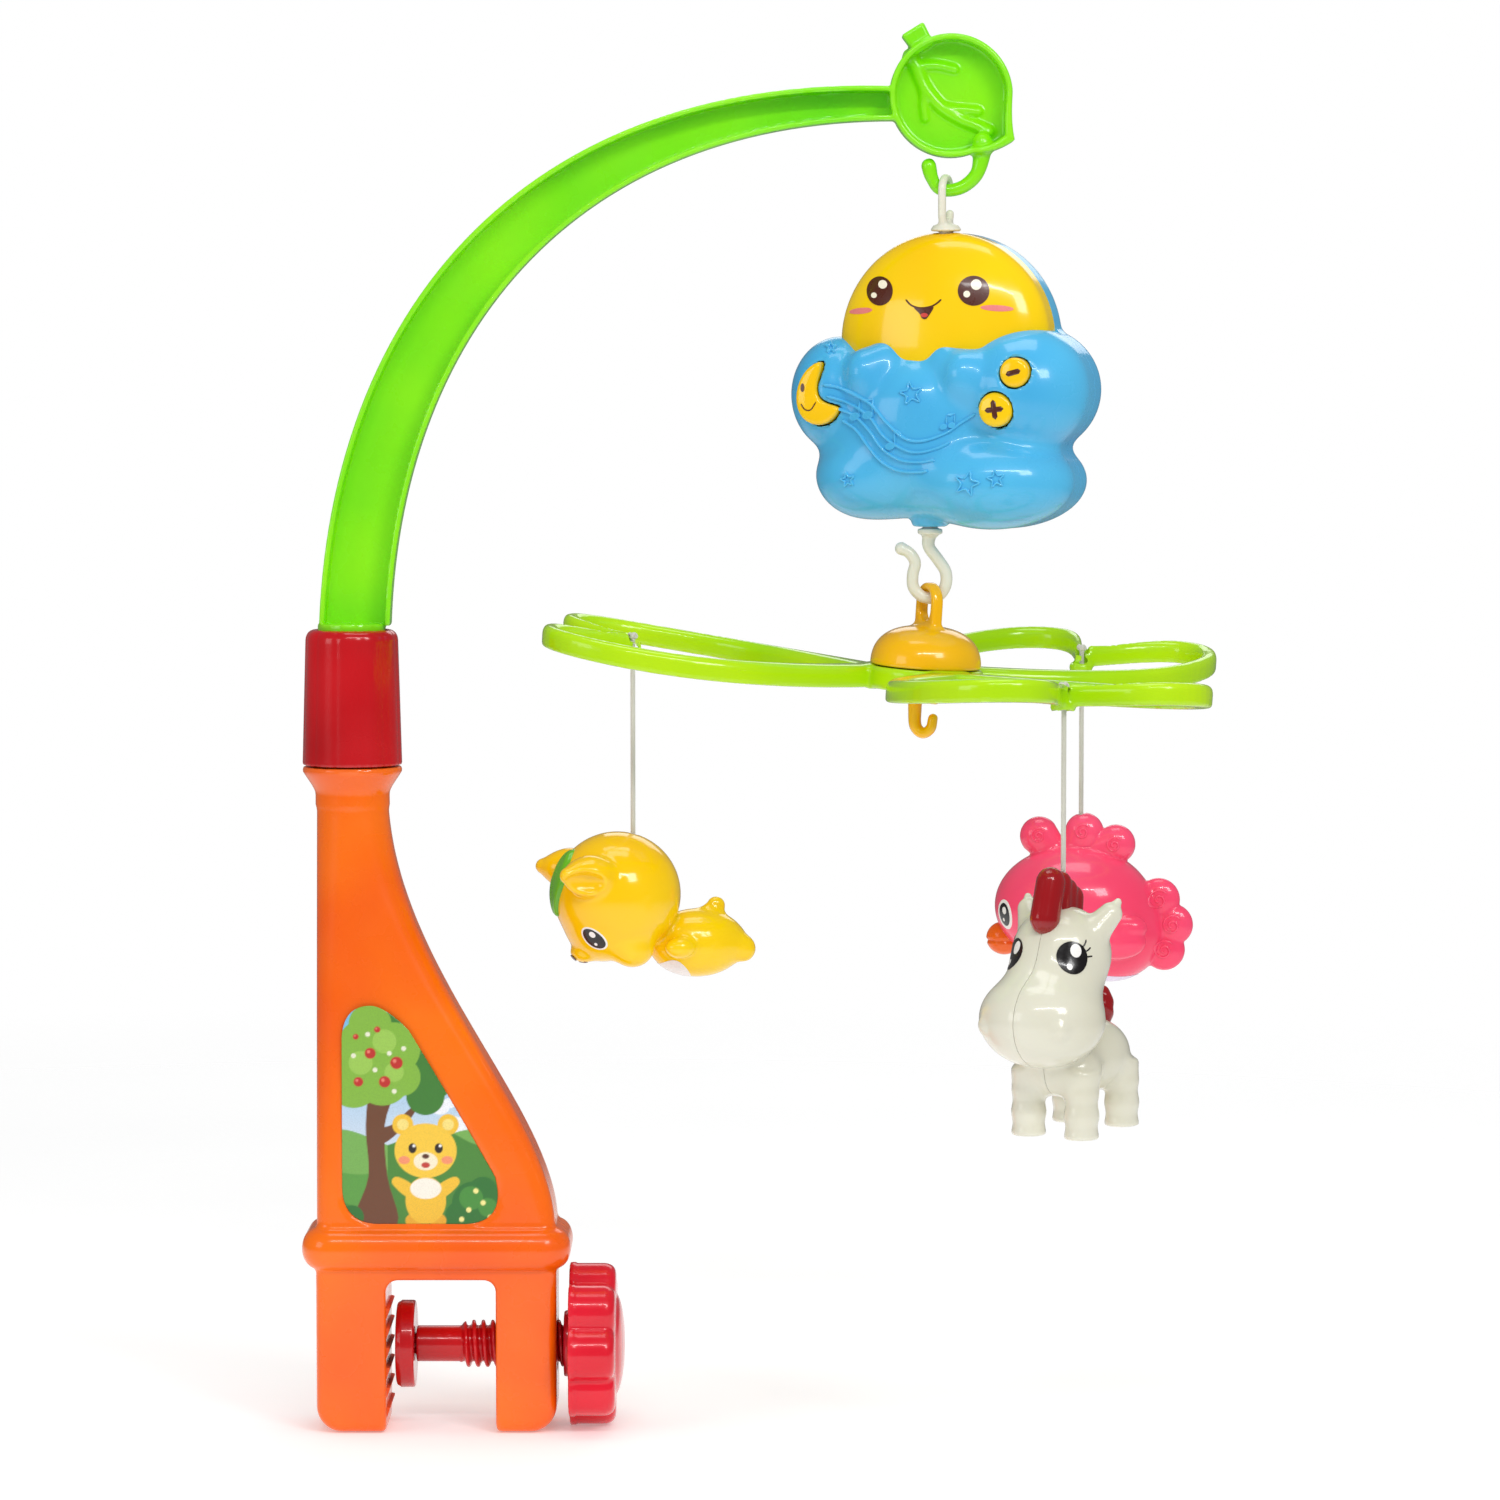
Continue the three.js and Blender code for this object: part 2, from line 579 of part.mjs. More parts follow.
// ---- hanging eye ----
function makeEye() {
  const eye = new THREE.Group();
  eye.position.set(EYE_X, 0, EYE_TOP_Z);
  eye.rotation.z = BOX_YAW;
  root.add(eye);
  const [reach, half, thick] = [9.5, 4.9, 1.7];
  // a long link, hung with its upper bend round the hook's wire
  const link = [];
  for (let i = 0; i <= 8; i++) {
    const angle = (Math.PI * i) / 8;
    link.push([0, half * Math.cos(angle), half * Math.sin(angle)]);
  }
  for (let i = 0; i <= 6; i++) {
    const angle = Math.PI + (Math.PI * i) / 6;
    link.push([0, half * Math.cos(angle), -reach + half * Math.sin(angle)]);
  }
  const closed = new THREE.CatmullRomCurve3(link.map((p) => new THREE.Vector3(...p)), true);
  const circle = new THREE.Shape().absarc(0, 0, thick, 0, 2 * Math.PI);
  const settings = { steps: 20, extrudePath: closed, curveSegments: 4 };
  const loop = solid(new THREE.ExtrudeGeometry(circle, settings));
  const foot = -reach - half;
  const flangeZ = BOX_Z + SUN.z + SUN.r - EYE_TOP_Z + 1.4;
  const stem = join(
    rod([0, 0, foot + 0.8], [0, 0, flangeZ - 9], 2.6, 2.6, 8),
    rod([0, 0, flangeZ], [0, 0, flangeZ + 1.8], 6, 5, 10),
    rod([0, 0, flangeZ - 9], [0, 0, flangeZ - 7], 4.4, 4.4, 8),
  );
  put("hanging_eye", join(loop, stem), ivory, eye);
}

// ---- music box ----
const SUN = { z: 4.8, r: 45.5, depth: 19 };
// centre x, y, z then radii x, y, z of each puff of the cloud, in the music box's frame
const PUFFS = [
  [-46, -1, -17.2, 21, 22, 24.6],
  [34, 0, -15.2, 29, 27, 27],
  [-32.4, -1, -52, 23.4, 24, 19],
  [21, -2, -53.4, 36, 29, 21],
  [-10.9, -1, -34, 38, 27, 35],
];
const BUMPS = [
  [-30, -16, -7, 12, 12, 12],
  [13, -17, -7, 14, 12.5, 12],
];

function puffs(inset, list = PUFFS) {
  const around = inset > 0 ? 7 : 10;
  const lump = ([x, y, z, a, b, c]) => ellipsoid([x, y, z], [a - inset, b - inset, c - inset], around);
  return join(...list.map(lump));
}

// Distance from the box's middle to the outline of a set of puffs, in the section at depth y.
const MIDDLE = { x: 0, z: -26 };
function reach(lumps, angle, y, inset) {
  const [dx, dz] = [Math.sin(angle), Math.cos(angle)];
  let far = 1;
  for (const [cx, cy, cz, a, b, c] of lumps) {
    const shrink = Math.sqrt(Math.max(0.01, 1 - ((y - cy) / b) ** 2));
    const [ra, rc] = [a * shrink, c * shrink];
    const [ox, oz] = [(MIDDLE.x - cx) / ra, (MIDDLE.z - cz) / rc];
    const [ux, uz] = [dx / ra, dz / rc];
    const half = (ox * ux + oz * uz) / (ux * ux + uz * uz);
    const rest = half * half - (ox * ox + oz * oz - 1) / (ux * ux + uz * uz);
    if (rest > 0) far = Math.max(far, Math.sqrt(rest) - half);
  }
  return far - inset;
}

// A tub along Y through rings of [y, inset], all with the outline of the section at depth y.
function tub(lumps, depth, rings, sides = 32) {
  const ringAt = ([y, inset]) =>
    Array.from({ length: sides }, (_, i) => {
      const angle = (2 * Math.PI * i) / sides;
      const r = reach(lumps, angle, depth, inset);
      return [MIDDLE.x + r * Math.sin(angle), y, MIDDLE.z + r * Math.cos(angle)];
    });
  return loft(rings.map(ringAt));
}

// Front of the cloud at a point, so that the buttons stand just proud of it.
function cloudFront(x, z) {
  const fronts = PUFFS.map(([cx, cy, cz, a, b, c]) => {
    const left = 1 - ((x - cx) / a) ** 2 - ((z - cz) / c) ** 2;
    return left > 0 ? cy - b * Math.sqrt(left) : 0;
  });
  return Math.min(...fronts);
}

const BUTTONS = {
  plus: { x: 29.6, z: -23.4, r: 7.2 },
  minus: { x: 37.9, z: -8.2, r: 6.2 },
  moon: { x: -52, z: -17, r: 8 },
};
const BOARD_Y = -4;
const CELL_RADIUS = 7.1;
const CELL_LENGTH = 50;
const CELL_Y = 15.4;
const CELL_LOW = -37;
const TRAY = { x: 25.2, y0: 6.8, y1: 23, z0: -40.5, z1: 17 };
const SHELL_SCREWS = [
  [-47, 0],
  [50, 1],
  [-38, -52],
  [47, -52],
];

function crescent(x, z, grow) {
  const shape = new THREE.Shape();
  shape.moveTo(x + 2.5 - grow * 0.3, z + 13.4 + grow);
  shape.bezierCurveTo(x - 9 - grow, z + 11, x - 13 - grow, z - 12 - grow, x + 2, z - 13 - grow);
  shape.bezierCurveTo(x + 6, z - 13 - grow, x + 10 + grow, z - 10 - grow, x + 11.4 + grow, z - 6);
  shape.bezierCurveTo(x + 9, z - 3.6 + grow, x + 1 + grow, z - 5 + grow, x + 1.4 + grow, z + 3);
  shape.bezierCurveTo(x + 1.6 + grow, z + 7, x + 4.4 + grow, z + 11, x + 2.5 + grow, z + 13.4 + grow);
  return shape;
}

function makeMusicBox() {
  const music = new THREE.Group();
  music.position.set(EYE_X, 0, BOX_Z);
  music.rotation.z = BOX_YAW;
  root.add(music);
  const place = (name, made, material) => put(name, made, material, music);
  const shaft = new THREE.Vector2(SHAFT_X - EYE_X, 0).rotateAround(new THREE.Vector2(), -BOX_YAW);

  // outer forms: a domed sun and a puffy cloud in front of a flat-backed tub
  const sunLump = [0, 0, SUN.z, SUN.r, SUN.depth, SUN.r];
  const everything = [...PUFFS, sunLump];
  const rim = SEAM_Y - 7;
  const sun = join(
    ellipsoid([0, 0, SUN.z], [SUN.r, SUN.depth, SUN.r], 18),
    rod([0, rim, SUN.z], [0, SEAM_Y, SUN.z], SUN.r, SUN.r, 36),
  );
  const cloud = join(puffs(0), tub(PUFFS, 0, [[rim, 0], [SEAM_Y, 0]]));
  const back = tub(everything, 0, [[SEAM_Y, 0], [BACK_Y - 6, 0.5], [BACK_Y, 6]]);

  // the hollow inside, less the screw posts
  const posts = SHELL_SCREWS.map(([x, z]) => boreAt(x, z, -14, 4, 8));
  const centres = gearCentres(shaft);
  const upright = (c, z0, z1, r, sides) => rod([c.x, c.y, z0], [c.x, c.y, z1], r, r, sides);
  const gearRoom = centres.slice(0, 3).map((c, i) => upright(c, LEVELS[i] - 3.2 + i, -44, 11.3, 12));
  const motorRoom = upright(centres[3], -46, -31.5, 9.4, 12);
  const thick = WALL + 0.4;
  const roomRings = [[rim - 5, 7], [rim + 2, thick], [BACK_Y - 7, thick], [BACK_Y - WALL, 8]];
  const space = join(
    ...gearRoom,
    motorRoom,
    puffs(WALL + 0.6),
    ellipsoid([0, 0, SUN.z], [SUN.r - WALL, SUN.depth - WALL, SUN.r - WALL], 12),
    tub(everything, 0, roomRings, 28),
  );
  const inside = cut(space, ...posts);
  const outlet = upright(shaft, -80, -60, 3.6, 10);
  const eyeHole = rod([0, 0, 30], [0, 0, 60], 3, 3, 10);
  const outletRing = rod([shaft.x, shaft.y, -72.5], [shaft.x, shaft.y, -62], 7, 8.5, 12);
  const bores = SHELL_SCREWS.map(([x, z]) => boreAt(x, z, -2, PILOT_RADIUS, 6));
  const holes = [inside, outlet, eyeHole, ...bores];

  // front cloud, with the holes that its buttons come through
  const { plus, minus, moon } = BUTTONS;
  const buttonHole = (b) => rod([b.x, -40, b.z], [b.x, -10, b.z], b.r + 0.5, b.r + 0.5, 12);
  const buttonHoles = [plus, minus].map(buttonHole);
  const moonHole = slab(crescent(moon.x, moon.z, 0.7), -40, -6, 5);
  const front = cut(join(cloud, puffs(0, BUMPS), outletRing), ...holes, ...buttonHoles, moonHole);
  place("cloud_front_shell", largest(keepFront(front, SEAM_Y)), blue);
  const rimAndGap = tub(PUFFS, 0, [[rim - GAP, -GAP], [SEAM_Y + 1, -GAP]]);
  const cloudAndGap = join(puffs(-GAP), puffs(-GAP, BUMPS), rimAndGap);
  place("sun_face_shell", largest(keepFront(cut(sun, ...holes, cloudAndGap), SEAM_Y)), yellow);

  // rear shell, with the battery opening, the sound holes and the screw posts
  const opening = box(-DOOR.x, DOOR.x, BACK_Y - 8, BACK_Y + 5, DOOR.z0, DOOR.z1);
  const sinks = SHELL_SCREWS.map(([x, z]) => boreAt(x, z, 12, 3.4, 8));
  const rear = cut(join(back, outletRing), ...holes, opening, ...soundHoles(), ...sinks);
  place("rear_shell", largest(keepRear(rear, SEAM_Y)), blue);
  SHELL_SCREWS.forEach(([x, z], i) => {
    place(`shell_screw_${i + 1}`, screwSolid(x, z, 12 + GAP, 13), steel);
  });

  // battery compartment
  const tray = cut(
    box(-TRAY.x - 1, TRAY.x + 1, TRAY.y0, TRAY.y1 - 1, TRAY.z0, TRAY.z1),
    box(-TRAY.x + 0.6, TRAY.x - 0.6, TRAY.y0 + 1.3, TRAY.y1 + 1, TRAY.z0 + 1.5, TRAY.z1 - 1.5),
  );
  place("battery_tray", tray, blue);
  [-16, 0, 16].forEach((x, i) => {
    const top = CELL_LOW + CELL_LENGTH;
    const cell = join(
      rod([x, CELL_Y, CELL_LOW], [x, CELL_Y, top], CELL_RADIUS, CELL_RADIUS, 10),
      rod([x, CELL_Y, top - 0.1], [x, CELL_Y, top + 1], 2.6, 2.6, 6),
    );
    place(`battery_${i + 1}`, cell, black);
  });
  place("upper_contact_strip", box(-22, 22, CELL_Y - 4, CELL_Y + 4, 14.4, 15), steel);
  place("lower_contact_strip", box(-22, 22, CELL_Y - 4, CELL_Y + 4, -38.6, -38), steel);
  makeBatteryDoor(place);

  // sound and control
  const cone = rod([0, 6, SPEAKER.z], [0, 12, SPEAKER.z], 7, SPEAKER.r, 12);
  const rimDisc = rod([0, 12, SPEAKER.z], [0, 13.5, SPEAKER.z], SPEAKER.r, SPEAKER.r, 12);
  place("speaker", join(cone, rimDisc), black);
  const switchBox = (b) => box(b.x - 3, b.x + 3, BOARD_Y - 4, BOARD_Y + 1, b.z - 3, b.z + 3);
  const switches = Object.values(BUTTONS).map(switchBox);
  place("circuit_board", join(box(-57, 44, BOARD_Y, BOARD_Y + 1.6, -31, -4.6), ...switches), boardGreen);
  for (const [name, b] of Object.entries(BUTTONS)) {
    const front = cloudFront(b.x, b.z);
    const back = BOARD_Y - 4 - BUTTON_TRAVEL_ROOM;
    const stem = rod([b.x, front + 3, b.z], [b.x, back, b.z], 2, 2, 8);
    const round = () => rod([b.x, front - 1.8, b.z], [b.x, front + 4, b.z], b.r, b.r, 12);
    const moonCap = () => slab(crescent(b.x, b.z, 0), front - 1.2, front + 7, 5);
    const cap = name === "moon" ? moonCap() : round();
    place(`${name}_button`, join(cap, stem), yellow);
  }
  makeGearTrain(place, shaft);
}

function makeBatteryDoor(place) {
  const edge = 0.4;
  const x = DOOR.x - edge;
  const sheet = box(-x, x, BACK_Y - WALL + 0.2, BACK_Y, DOOR.z0 + edge, DOOR.z1 - edge);
  const grip = box(-9, 9, BACK_Y - 0.5, BACK_Y + 0.9, 9, 11.5);
  place("battery_door", cut(join(sheet, grip), boreAt(0, DOOR_SCREW_Z, 10, 1.5, 8)), blue);
  const at = (y) => [0, y, DOOR_SCREW_Z];
  const head = rod(at(BACK_Y + GAP), at(BACK_Y + 1.5), 2.8, 2.4, 8);
  const shank = rod(at(BACK_Y - WALL - 0.2), at(BACK_Y + 1), SHANK_RADIUS, SHANK_RADIUS, 6);
  place("battery_door_screw", join(head, shank), steel);
}

const SPEAKER = { z: 30.5, r: 12 };
function soundHoles() {
  const made = [];
  for (let k = -1; k < 6; k++) {
    const angle = (2 * Math.PI * k) / 6;
    const out = k < 0 ? 0 : 6;
    const [x, z] = [out * Math.cos(angle), SPEAKER.z + out * Math.sin(angle)];
    made.push(rod([x, 5, z], [x, 40, z], 1.4, 1.4, 6));
  }
  return made;
}

// The biggest body of a cut, without the loose slivers.
function largest(whole) {
  return whole.decompose().reduce((best, part) => (part.volume() > best.volume() ? part : best));
}

// ---- gear train and drive hook ----
// Involute outline, with a little backlash, turned so that a tooth points along the given angle.
function gearShape(teeth, angle) {
  const pitch = (MODULE * teeth) / 2;
  const base = pitch * Math.cos(20 * DEG);
  const tip = pitch + MODULE * 0.9;
  const rootRadius = pitch - MODULE * 1.3;
  const involute = (r) => {
    const ratio = Math.sqrt(Math.max((r / base) ** 2 - 1, 0));
    return ratio - Math.atan(ratio);
  };
  const halfAtPitch = Math.PI / (2 * teeth) - BACKLASH / (2 * pitch);
  const flank = (r) => halfAtPitch + involute(pitch) - involute(Math.max(r, base));
  const points = [];
  for (let k = 0; k < teeth; k++) {
    const middle = angle + (2 * Math.PI * k) / teeth;
    const corners = [
      [rootRadius, middle - flank(rootRadius)],
      [tip, middle - flank(tip)],
      [tip, middle + flank(tip)],
      [rootRadius, middle + flank(rootRadius)],
    ];
    points.push(...corners.map(([r, a]) => new THREE.Vector2(r * Math.cos(a), r * Math.sin(a))));
  }
  return new THREE.Shape(points);
}

function gear(centre, teeth, angle, level) {
  const low = LEVELS[level];
  return plate(gearShape(teeth, angle), low, low + GEAR_THICKNESS).translate([centre.x, centre.y, 0]);
}

// The chain of gear centres walks to the right from the output shaft to the motor.
const DIRECTIONS = [-0.25, -0.2, 0.45];
function gearCentres(shaft) {
  const centres = [shaft];
  for (const d of DIRECTIONS) {
    const last = centres[centres.length - 1];
    centres.push(new THREE.Vector2(last.x + CENTRES * Math.cos(d), last.y + CENTRES * Math.sin(d)));
  }
  return centres;
}

// Each wheel turns on the same hub as the pinion one layer below it.
// That pinion drives the next wheel towards the shaft.
function makeGearTrain(place, shaft) {
  const centres = gearCentres(shaft);
  // a wheel has a tooth on the line of centres, and the pinion it meets has a gap there
  const gapAngle = (d) => d + Math.PI + Math.PI / PINION_TEETH;
  const axleHole = (c, r, sides = 6) => rod([c.x, c.y, -70], [c.x, c.y, -40], r, r, sides);
  const shaftHole = axleHole(shaft, SHAFT_STEM_RADIUS + 0.5, 10);
  place("output_gear", cut(gear(shaft, WHEEL_TEETH, DIRECTIONS[0], 0), shaftHole), ivory);
  const compound = (i) => {
    const c = centres[i];
    const pinion = gear(c, PINION_TEETH, gapAngle(DIRECTIONS[i - 1]), i - 1);
    const wheel = gear(c, WHEEL_TEETH, DIRECTIONS[i], i);
    const hub = rod([c.x, c.y, LEVELS[i - 1] + 1], [c.x, c.y, LEVELS[i] + 1], 2, 2, 12);
    return cut(join(pinion, wheel, hub), axleHole(c, AXLE_RADIUS + 0.2));
  };
  place("second_gear", compound(1), ivory);
  place("first_gear", compound(2), ivory);
  const motor = centres[3];
  const plateLow = LEVELS[0] - 2.4;
  const plateHigh = LEVELS[2] + GEAR_THICKNESS + 0.5;
  const frame = (z0, z1) => {
    const [a, b] = [centres[0], centres[3]];
    const bar = join(...centres.map((c) => rod([c.x, c.y, z0], [c.x, c.y, z1], 6.4, 6.4, 8)));
    const spine = new THREE.Shape();
    spine.moveTo(a.x, a.y + 5);
    spine.lineTo(a.x, a.y - 5);
    spine.lineTo(centres[2].x, centres[2].y - 6);
    spine.lineTo(b.x, b.y - 6);
    spine.lineTo(b.x, b.y + 6);
    return join(bar, plate(spine, z0, z1));
  };
  const pins = [1, 2].map((i) => axleHole(centres[i], AXLE_RADIUS + 0.25));
  const lower = frame(plateLow, plateLow + FRAME_THICKNESS);
  const upper = frame(plateHigh, plateHigh + FRAME_THICKNESS);
  place("gear_frame_lower", cut(lower, shaftHole, ...pins), ivory);
  place("gear_frame_upper", cut(upper, shaftHole, ...pins, axleHole(motor, 2)), ivory);
  const axleTop = plateHigh + FRAME_THICKNESS - 0.2;
  [1, 2].forEach((i) => {
    const c = centres[i];
    const axle = rod([c.x, c.y, plateLow + 0.2], [c.x, c.y, axleTop], AXLE_RADIUS, AXLE_RADIUS, 6);
    place(`gear_axle_${i}`, axle, steel);
  });
  const motorZ = plateHigh + FRAME_THICKNESS + GAP;
  place("motor", rod([motor.x, motor.y, motorZ], [motor.x, motor.y, motorZ + 11], 8.5, 8.5, 12), steel);
  const motorShaft = rod([motor.x, motor.y, LEVELS[2] + 0.5], [motor.x, motor.y, motorZ - GAP], 1, 1, 12);
  const pinion = gear(motor, PINION_TEETH, gapAngle(DIRECTIONS[2]), 2);
  place("motor_pinion", join(pinion, motorShaft), ivory);

  // shaft, flange and S-shaped hook in one moulding
  const drop = S_HOOK_Z - BOX_Z;
  const hookPath = smoothPath([
    [0, 0, -75],
    [-0.6, 0, -80.5],
    [3.2, 0, -86],
    [6.6, 0, -91.5],
    [6.4, 0, -97.5],
    [2.8, 0, drop + 0.1],
    [-2.7, 0, drop + 0.1],
    [-6.8, 0, -98],
    [-7.2, 0, -92.5],
    [-6.2, 0, -87.5],
    [-8.6, 0, -83.5],
    [-12, 0, -81.6],
  ]);
  const hook = wire(hookPath, S_HOOK_WIRE, 20, 8);
  const flange = rod([0, 0, -75.5], [0, 0, -73.4], 4.6, 5.4, 10);
  const stemTop = [0, 0, LEVELS[0] + GEAR_THICKNESS];
  const stem = rod([0, 0, -75], stemTop, SHAFT_STEM_RADIUS, SHAFT_STEM_RADIUS, 8);
  const spindle = rod([0, 0, LEVELS[0]], [0, 0, axleTop], 2, 2, 8);
  const turnedBack = join(hook, flange, stem, spindle).rotate([0, 0, -BOX_YAW / DEG]);
  place("drive_hook", turnedBack.translate([shaft.x, shaft.y, 0]), ivory);
}

// ---- carousel ----
// Half outlines of a heart along +X: from the start at the hub, out by way of curve a to its widest point,
// by way of b to the end of the lobe, and by way of c back to the notch.
const OUTER_HEART = {
  start: 14,
  a: [44, 40, 78, 64],
  wide: [112, 64],
  b: [140, 64, 158, 52],
  lobe: [158, 33],
  c: [158, 15, 134, 10],
  notch: 128,
};
const INNER_HEART = {
  start: 31,
  a: [56, 36, 80, 57.5],
  wide: [111, 57.5],
  b: [135, 57.5, 151.5, 48],
  lobe: [151.5, 33],
  c: [151.5, 19, 130, 8],
  notch: 119.5,
};

function heart(p) {
  const shape = new THREE.Shape();
  shape.moveTo(p.start, 0);
  shape.bezierCurveTo(...p.a, ...p.wide);
  shape.bezierCurveTo(...p.b, ...p.lobe);
  shape.bezierCurveTo(...p.c, p.notch, 0);
  const flip = ([x, y, u, v]) => [u, -v, x, -y];
  shape.bezierCurveTo(...flip(p.c), p.lobe[0], -p.lobe[1]);
  shape.bezierCurveTo(...flip(p.b), p.wide[0], -p.wide[1]);
  shape.bezierCurveTo(...flip(p.a), p.start, 0);
  return shape;
}

// The heart loops are flat at the hub and curve upwards from its edge.
function riseAt(x) {
  const share = Math.max(0, x - HUB_RADIUS) / (CORD_REACH - HUB_RADIUS);
  return LOOP_RISE * share * share;
}

function heartLoop() {
  const ring = heart(OUTER_HEART);
  ring.holes.push(new THREE.Path(heart(INNER_HEART).getPoints(5).reverse()));
  const geometry = new THREE.ExtrudeGeometry(ring, { depth: RIM_HEIGHT, bevelEnabled: false, curveSegments: 5 });
  geometry.translate(0, 0, -RIM_HEIGHT);
  const points = geometry.getAttribute("position");
  for (let i = 0; i < points.count; i++) {
    points.setZ(i, points.getZ(i) + riseAt(points.getX(i)));
  }
  return solid(geometry);
}

const CAROUSEL_ANGLES = { cat: 180 * DEG, unicorn: -60 * DEG, bird: 60 * DEG };

function makeCarousel() {
  // it hangs from, and tilts about, the lowest point of the drive hook
  const hanger = new THREE.Group();
  hanger.position.set(SHAFT_X, 0, S_HOOK_Z);
  hanger.rotation.set(TILT_FRONT_DOWN, TILT_LEFT_UP, CAROUSEL_TURN, "XYZ");
  root.add(hanger);
  const carousel = new THREE.Group();
  carousel.position.set(0, 0, RIM_TOP - S_HOOK_Z);
  hanger.add(carousel);
  const place = (name, made, material) => put(name, made, material, carousel);

  const parts = [rod([0, 0, -RIM_HEIGHT], [0, 0, 0], HUB_RADIUS, HUB_RADIUS, 16)];
  for (const angle of Object.values(CAROUSEL_ANGLES)) {
    const boss = rod([CORD_REACH, 0, -RIM_HEIGHT - 2], [CORD_REACH, 0, -RIM_HEIGHT + 1], 4.6, 5, 10);
    const hole = rod([CORD_REACH, 0, -RIM_HEIGHT - 2.5], [CORD_REACH, 0, -3], 3.9, 1.7, 8);
    const seat = rod([CORD_REACH, 0, -3.5], [CORD_REACH, 0, 1], CORD_KNOT + 0.9, CORD_KNOT + 0.9, 6);
    const lift = (made) => made.translate([0, 0, LOOP_RISE]);
    const loop = cut(join(heartLoop(), lift(boss)), lift(hole), lift(seat));
    parts.push(loop.rotate([0, 0, angle / DEG]));
  }
  const bore = rod([0, 0, -20], [0, 0, 5], 5, 5, 12);
  place("carousel_frame", cut(join(...parts), bore), leafGreen);

  // domed hub with the loop that hangs on the drive hook
  const dome = turned([
    [0, GAP],
    [23.3, GAP],
    [22.8, 5],
    [20, 10.5],
    [15.5, 14.6],
    [9.5, 17],
    [0, 17.4],
  ], 18);
  const wireTop = S_HOOK_Z + S_HOOK_WIRE + 3 - RIM_TOP;
  const loopShape = new THREE.Shape();
  const [halfWide, hole] = [8.6, 5];
  loopShape.moveTo(-halfWide, 16);
  loopShape.lineTo(halfWide, 16);
  loopShape.lineTo(halfWide, wireTop - 4.8);
  loopShape.absarc(0, wireTop - 4.8, halfWide, 0, Math.PI, false);
  const eyelet = new THREE.Path();
  eyelet.moveTo(-hole, wireTop - 10.5);
  eyelet.absarc(0, wireTop - hole, hole, Math.PI, 0, true);
  eyelet.lineTo(hole, wireTop - 10.5);
  eyelet.absarc(0, wireTop - 10.5, hole, 0, Math.PI, true);
  loopShape.holes.push(eyelet);
  const stem = slab(loopShape, -2.5, 2.5, 6).rotate([0, 0, 90 + LOOP_YAW]);
  const peg = rod([0, 0, -RIM_HEIGHT + 1.2], [0, 0, GAP + 1], 4.6, 4.6, 10);
  const turnBack = -CAROUSEL_TURN / DEG;
  const pilot = rod([0, 0, -20], [0, 0, 8], 1.4, 1.4, 6);
  place("hub_dome", cut(join(dome, stem.rotate([0, 0, turnBack]), peg), pilot), yellow);

  // lower hook for a further toy, screwed up into the dome
  const hookPath = smoothPath([
    [-3.4, 0, -RIM_HEIGHT - 3],
    [-3.2, 0, -RIM_HEIGHT - 10],
    [-2.4, 0, -RIM_HEIGHT - 16.5],
    [1.2, 0, -RIM_HEIGHT - 18.4],
    [4.2, 0, -RIM_HEIGHT - 15.5],
    [4.2, 0, -RIM_HEIGHT - 11.6],
  ]);
  const disc = rod([0, 0, -RIM_HEIGHT - 3.2], [0, 0, -RIM_HEIGHT - GAP], 9, 10.5, 16);
  place("lower_hook", join(disc, wire(hookPath, 2.1, 10, 8)).rotate([0, 0, turnBack]), yellow);

  carousel.updateWorldMatrix(true, false);
  const anchors = {};
  for (const [name, angle] of Object.entries(CAROUSEL_ANGLES)) {
    const [x, y] = [CORD_REACH * Math.cos(angle), CORD_REACH * Math.sin(angle)];
    const seat = new THREE.Vector3(x, y, LOOP_RISE - 3.5);
    anchors[name] = seat.applyMatrix4(carousel.matrixWorld);
  }
  return anchors;
}

// ---- cords and animals ----
function toySolid(lumps, around = 10) {
  return join(...lumps.map(([c, r]) => ellipsoid(c, r, Math.max(...r) > 12 ? around : 6)));
}

const TOYS = {
  cat: { drop: 187, yaw: 15 * DEG, colour: yellow },
  unicorn: { drop: 172, yaw: 58 * DEG, colour: ivory },
  bird: { drop: 176, yaw: -12 * DEG, colour: pink },
};

function makeToy(name, anchor, shape) {
  const { drop, yaw, colour } = TOYS[name];
  const depth = 5; // the cord ends in a knot this far inside the toy
  const at = (z) => [anchor.x, anchor.y, z];
  const cord = join(
    rod(at(drop - depth), at(anchor.z + CORD_KNOT), CORD_RADIUS, CORD_RADIUS, 6),
    ellipsoid(at(anchor.z + CORD_KNOT + GAP), [CORD_KNOT, CORD_KNOT, CORD_KNOT], 6),
    ellipsoid(at(drop - depth), [CORD_KNOT, CORD_KNOT, CORD_KNOT * 0.8], 6),
  );
  put(`${name}_cord`, cord, cordWhite);
  const toy = new THREE.Group();
  toy.position.set(anchor.x, anchor.y, drop);
  toy.rotation.z = yaw;
  root.add(toy);
  const well = join(
    rod([0, 0, -depth], [0, 0, 20], CORD_RADIUS + 0.4, CORD_RADIUS + 0.4, 6),
    ellipsoid([0, 0, -depth], [CORD_KNOT + 0.9, CORD_KNOT + 0.9, CORD_KNOT + 1.2], 8),
  );
  const extras = shape.extras.map((e) => e.made);
  const shell = cut(toySolid(shape.lumps), toySolid(shape.hollow, 6), well, ...extras);
  put(`${name}_near_half`, largest(keepFront(shell)), colour, toy);
  put(`${name}_far_half`, largest(keepRear(shell)), colour, toy);
  for (const extra of shape.extras) {
    put(extra.name, cut(extra.inset, well), extra.colour, toy);
  }
}

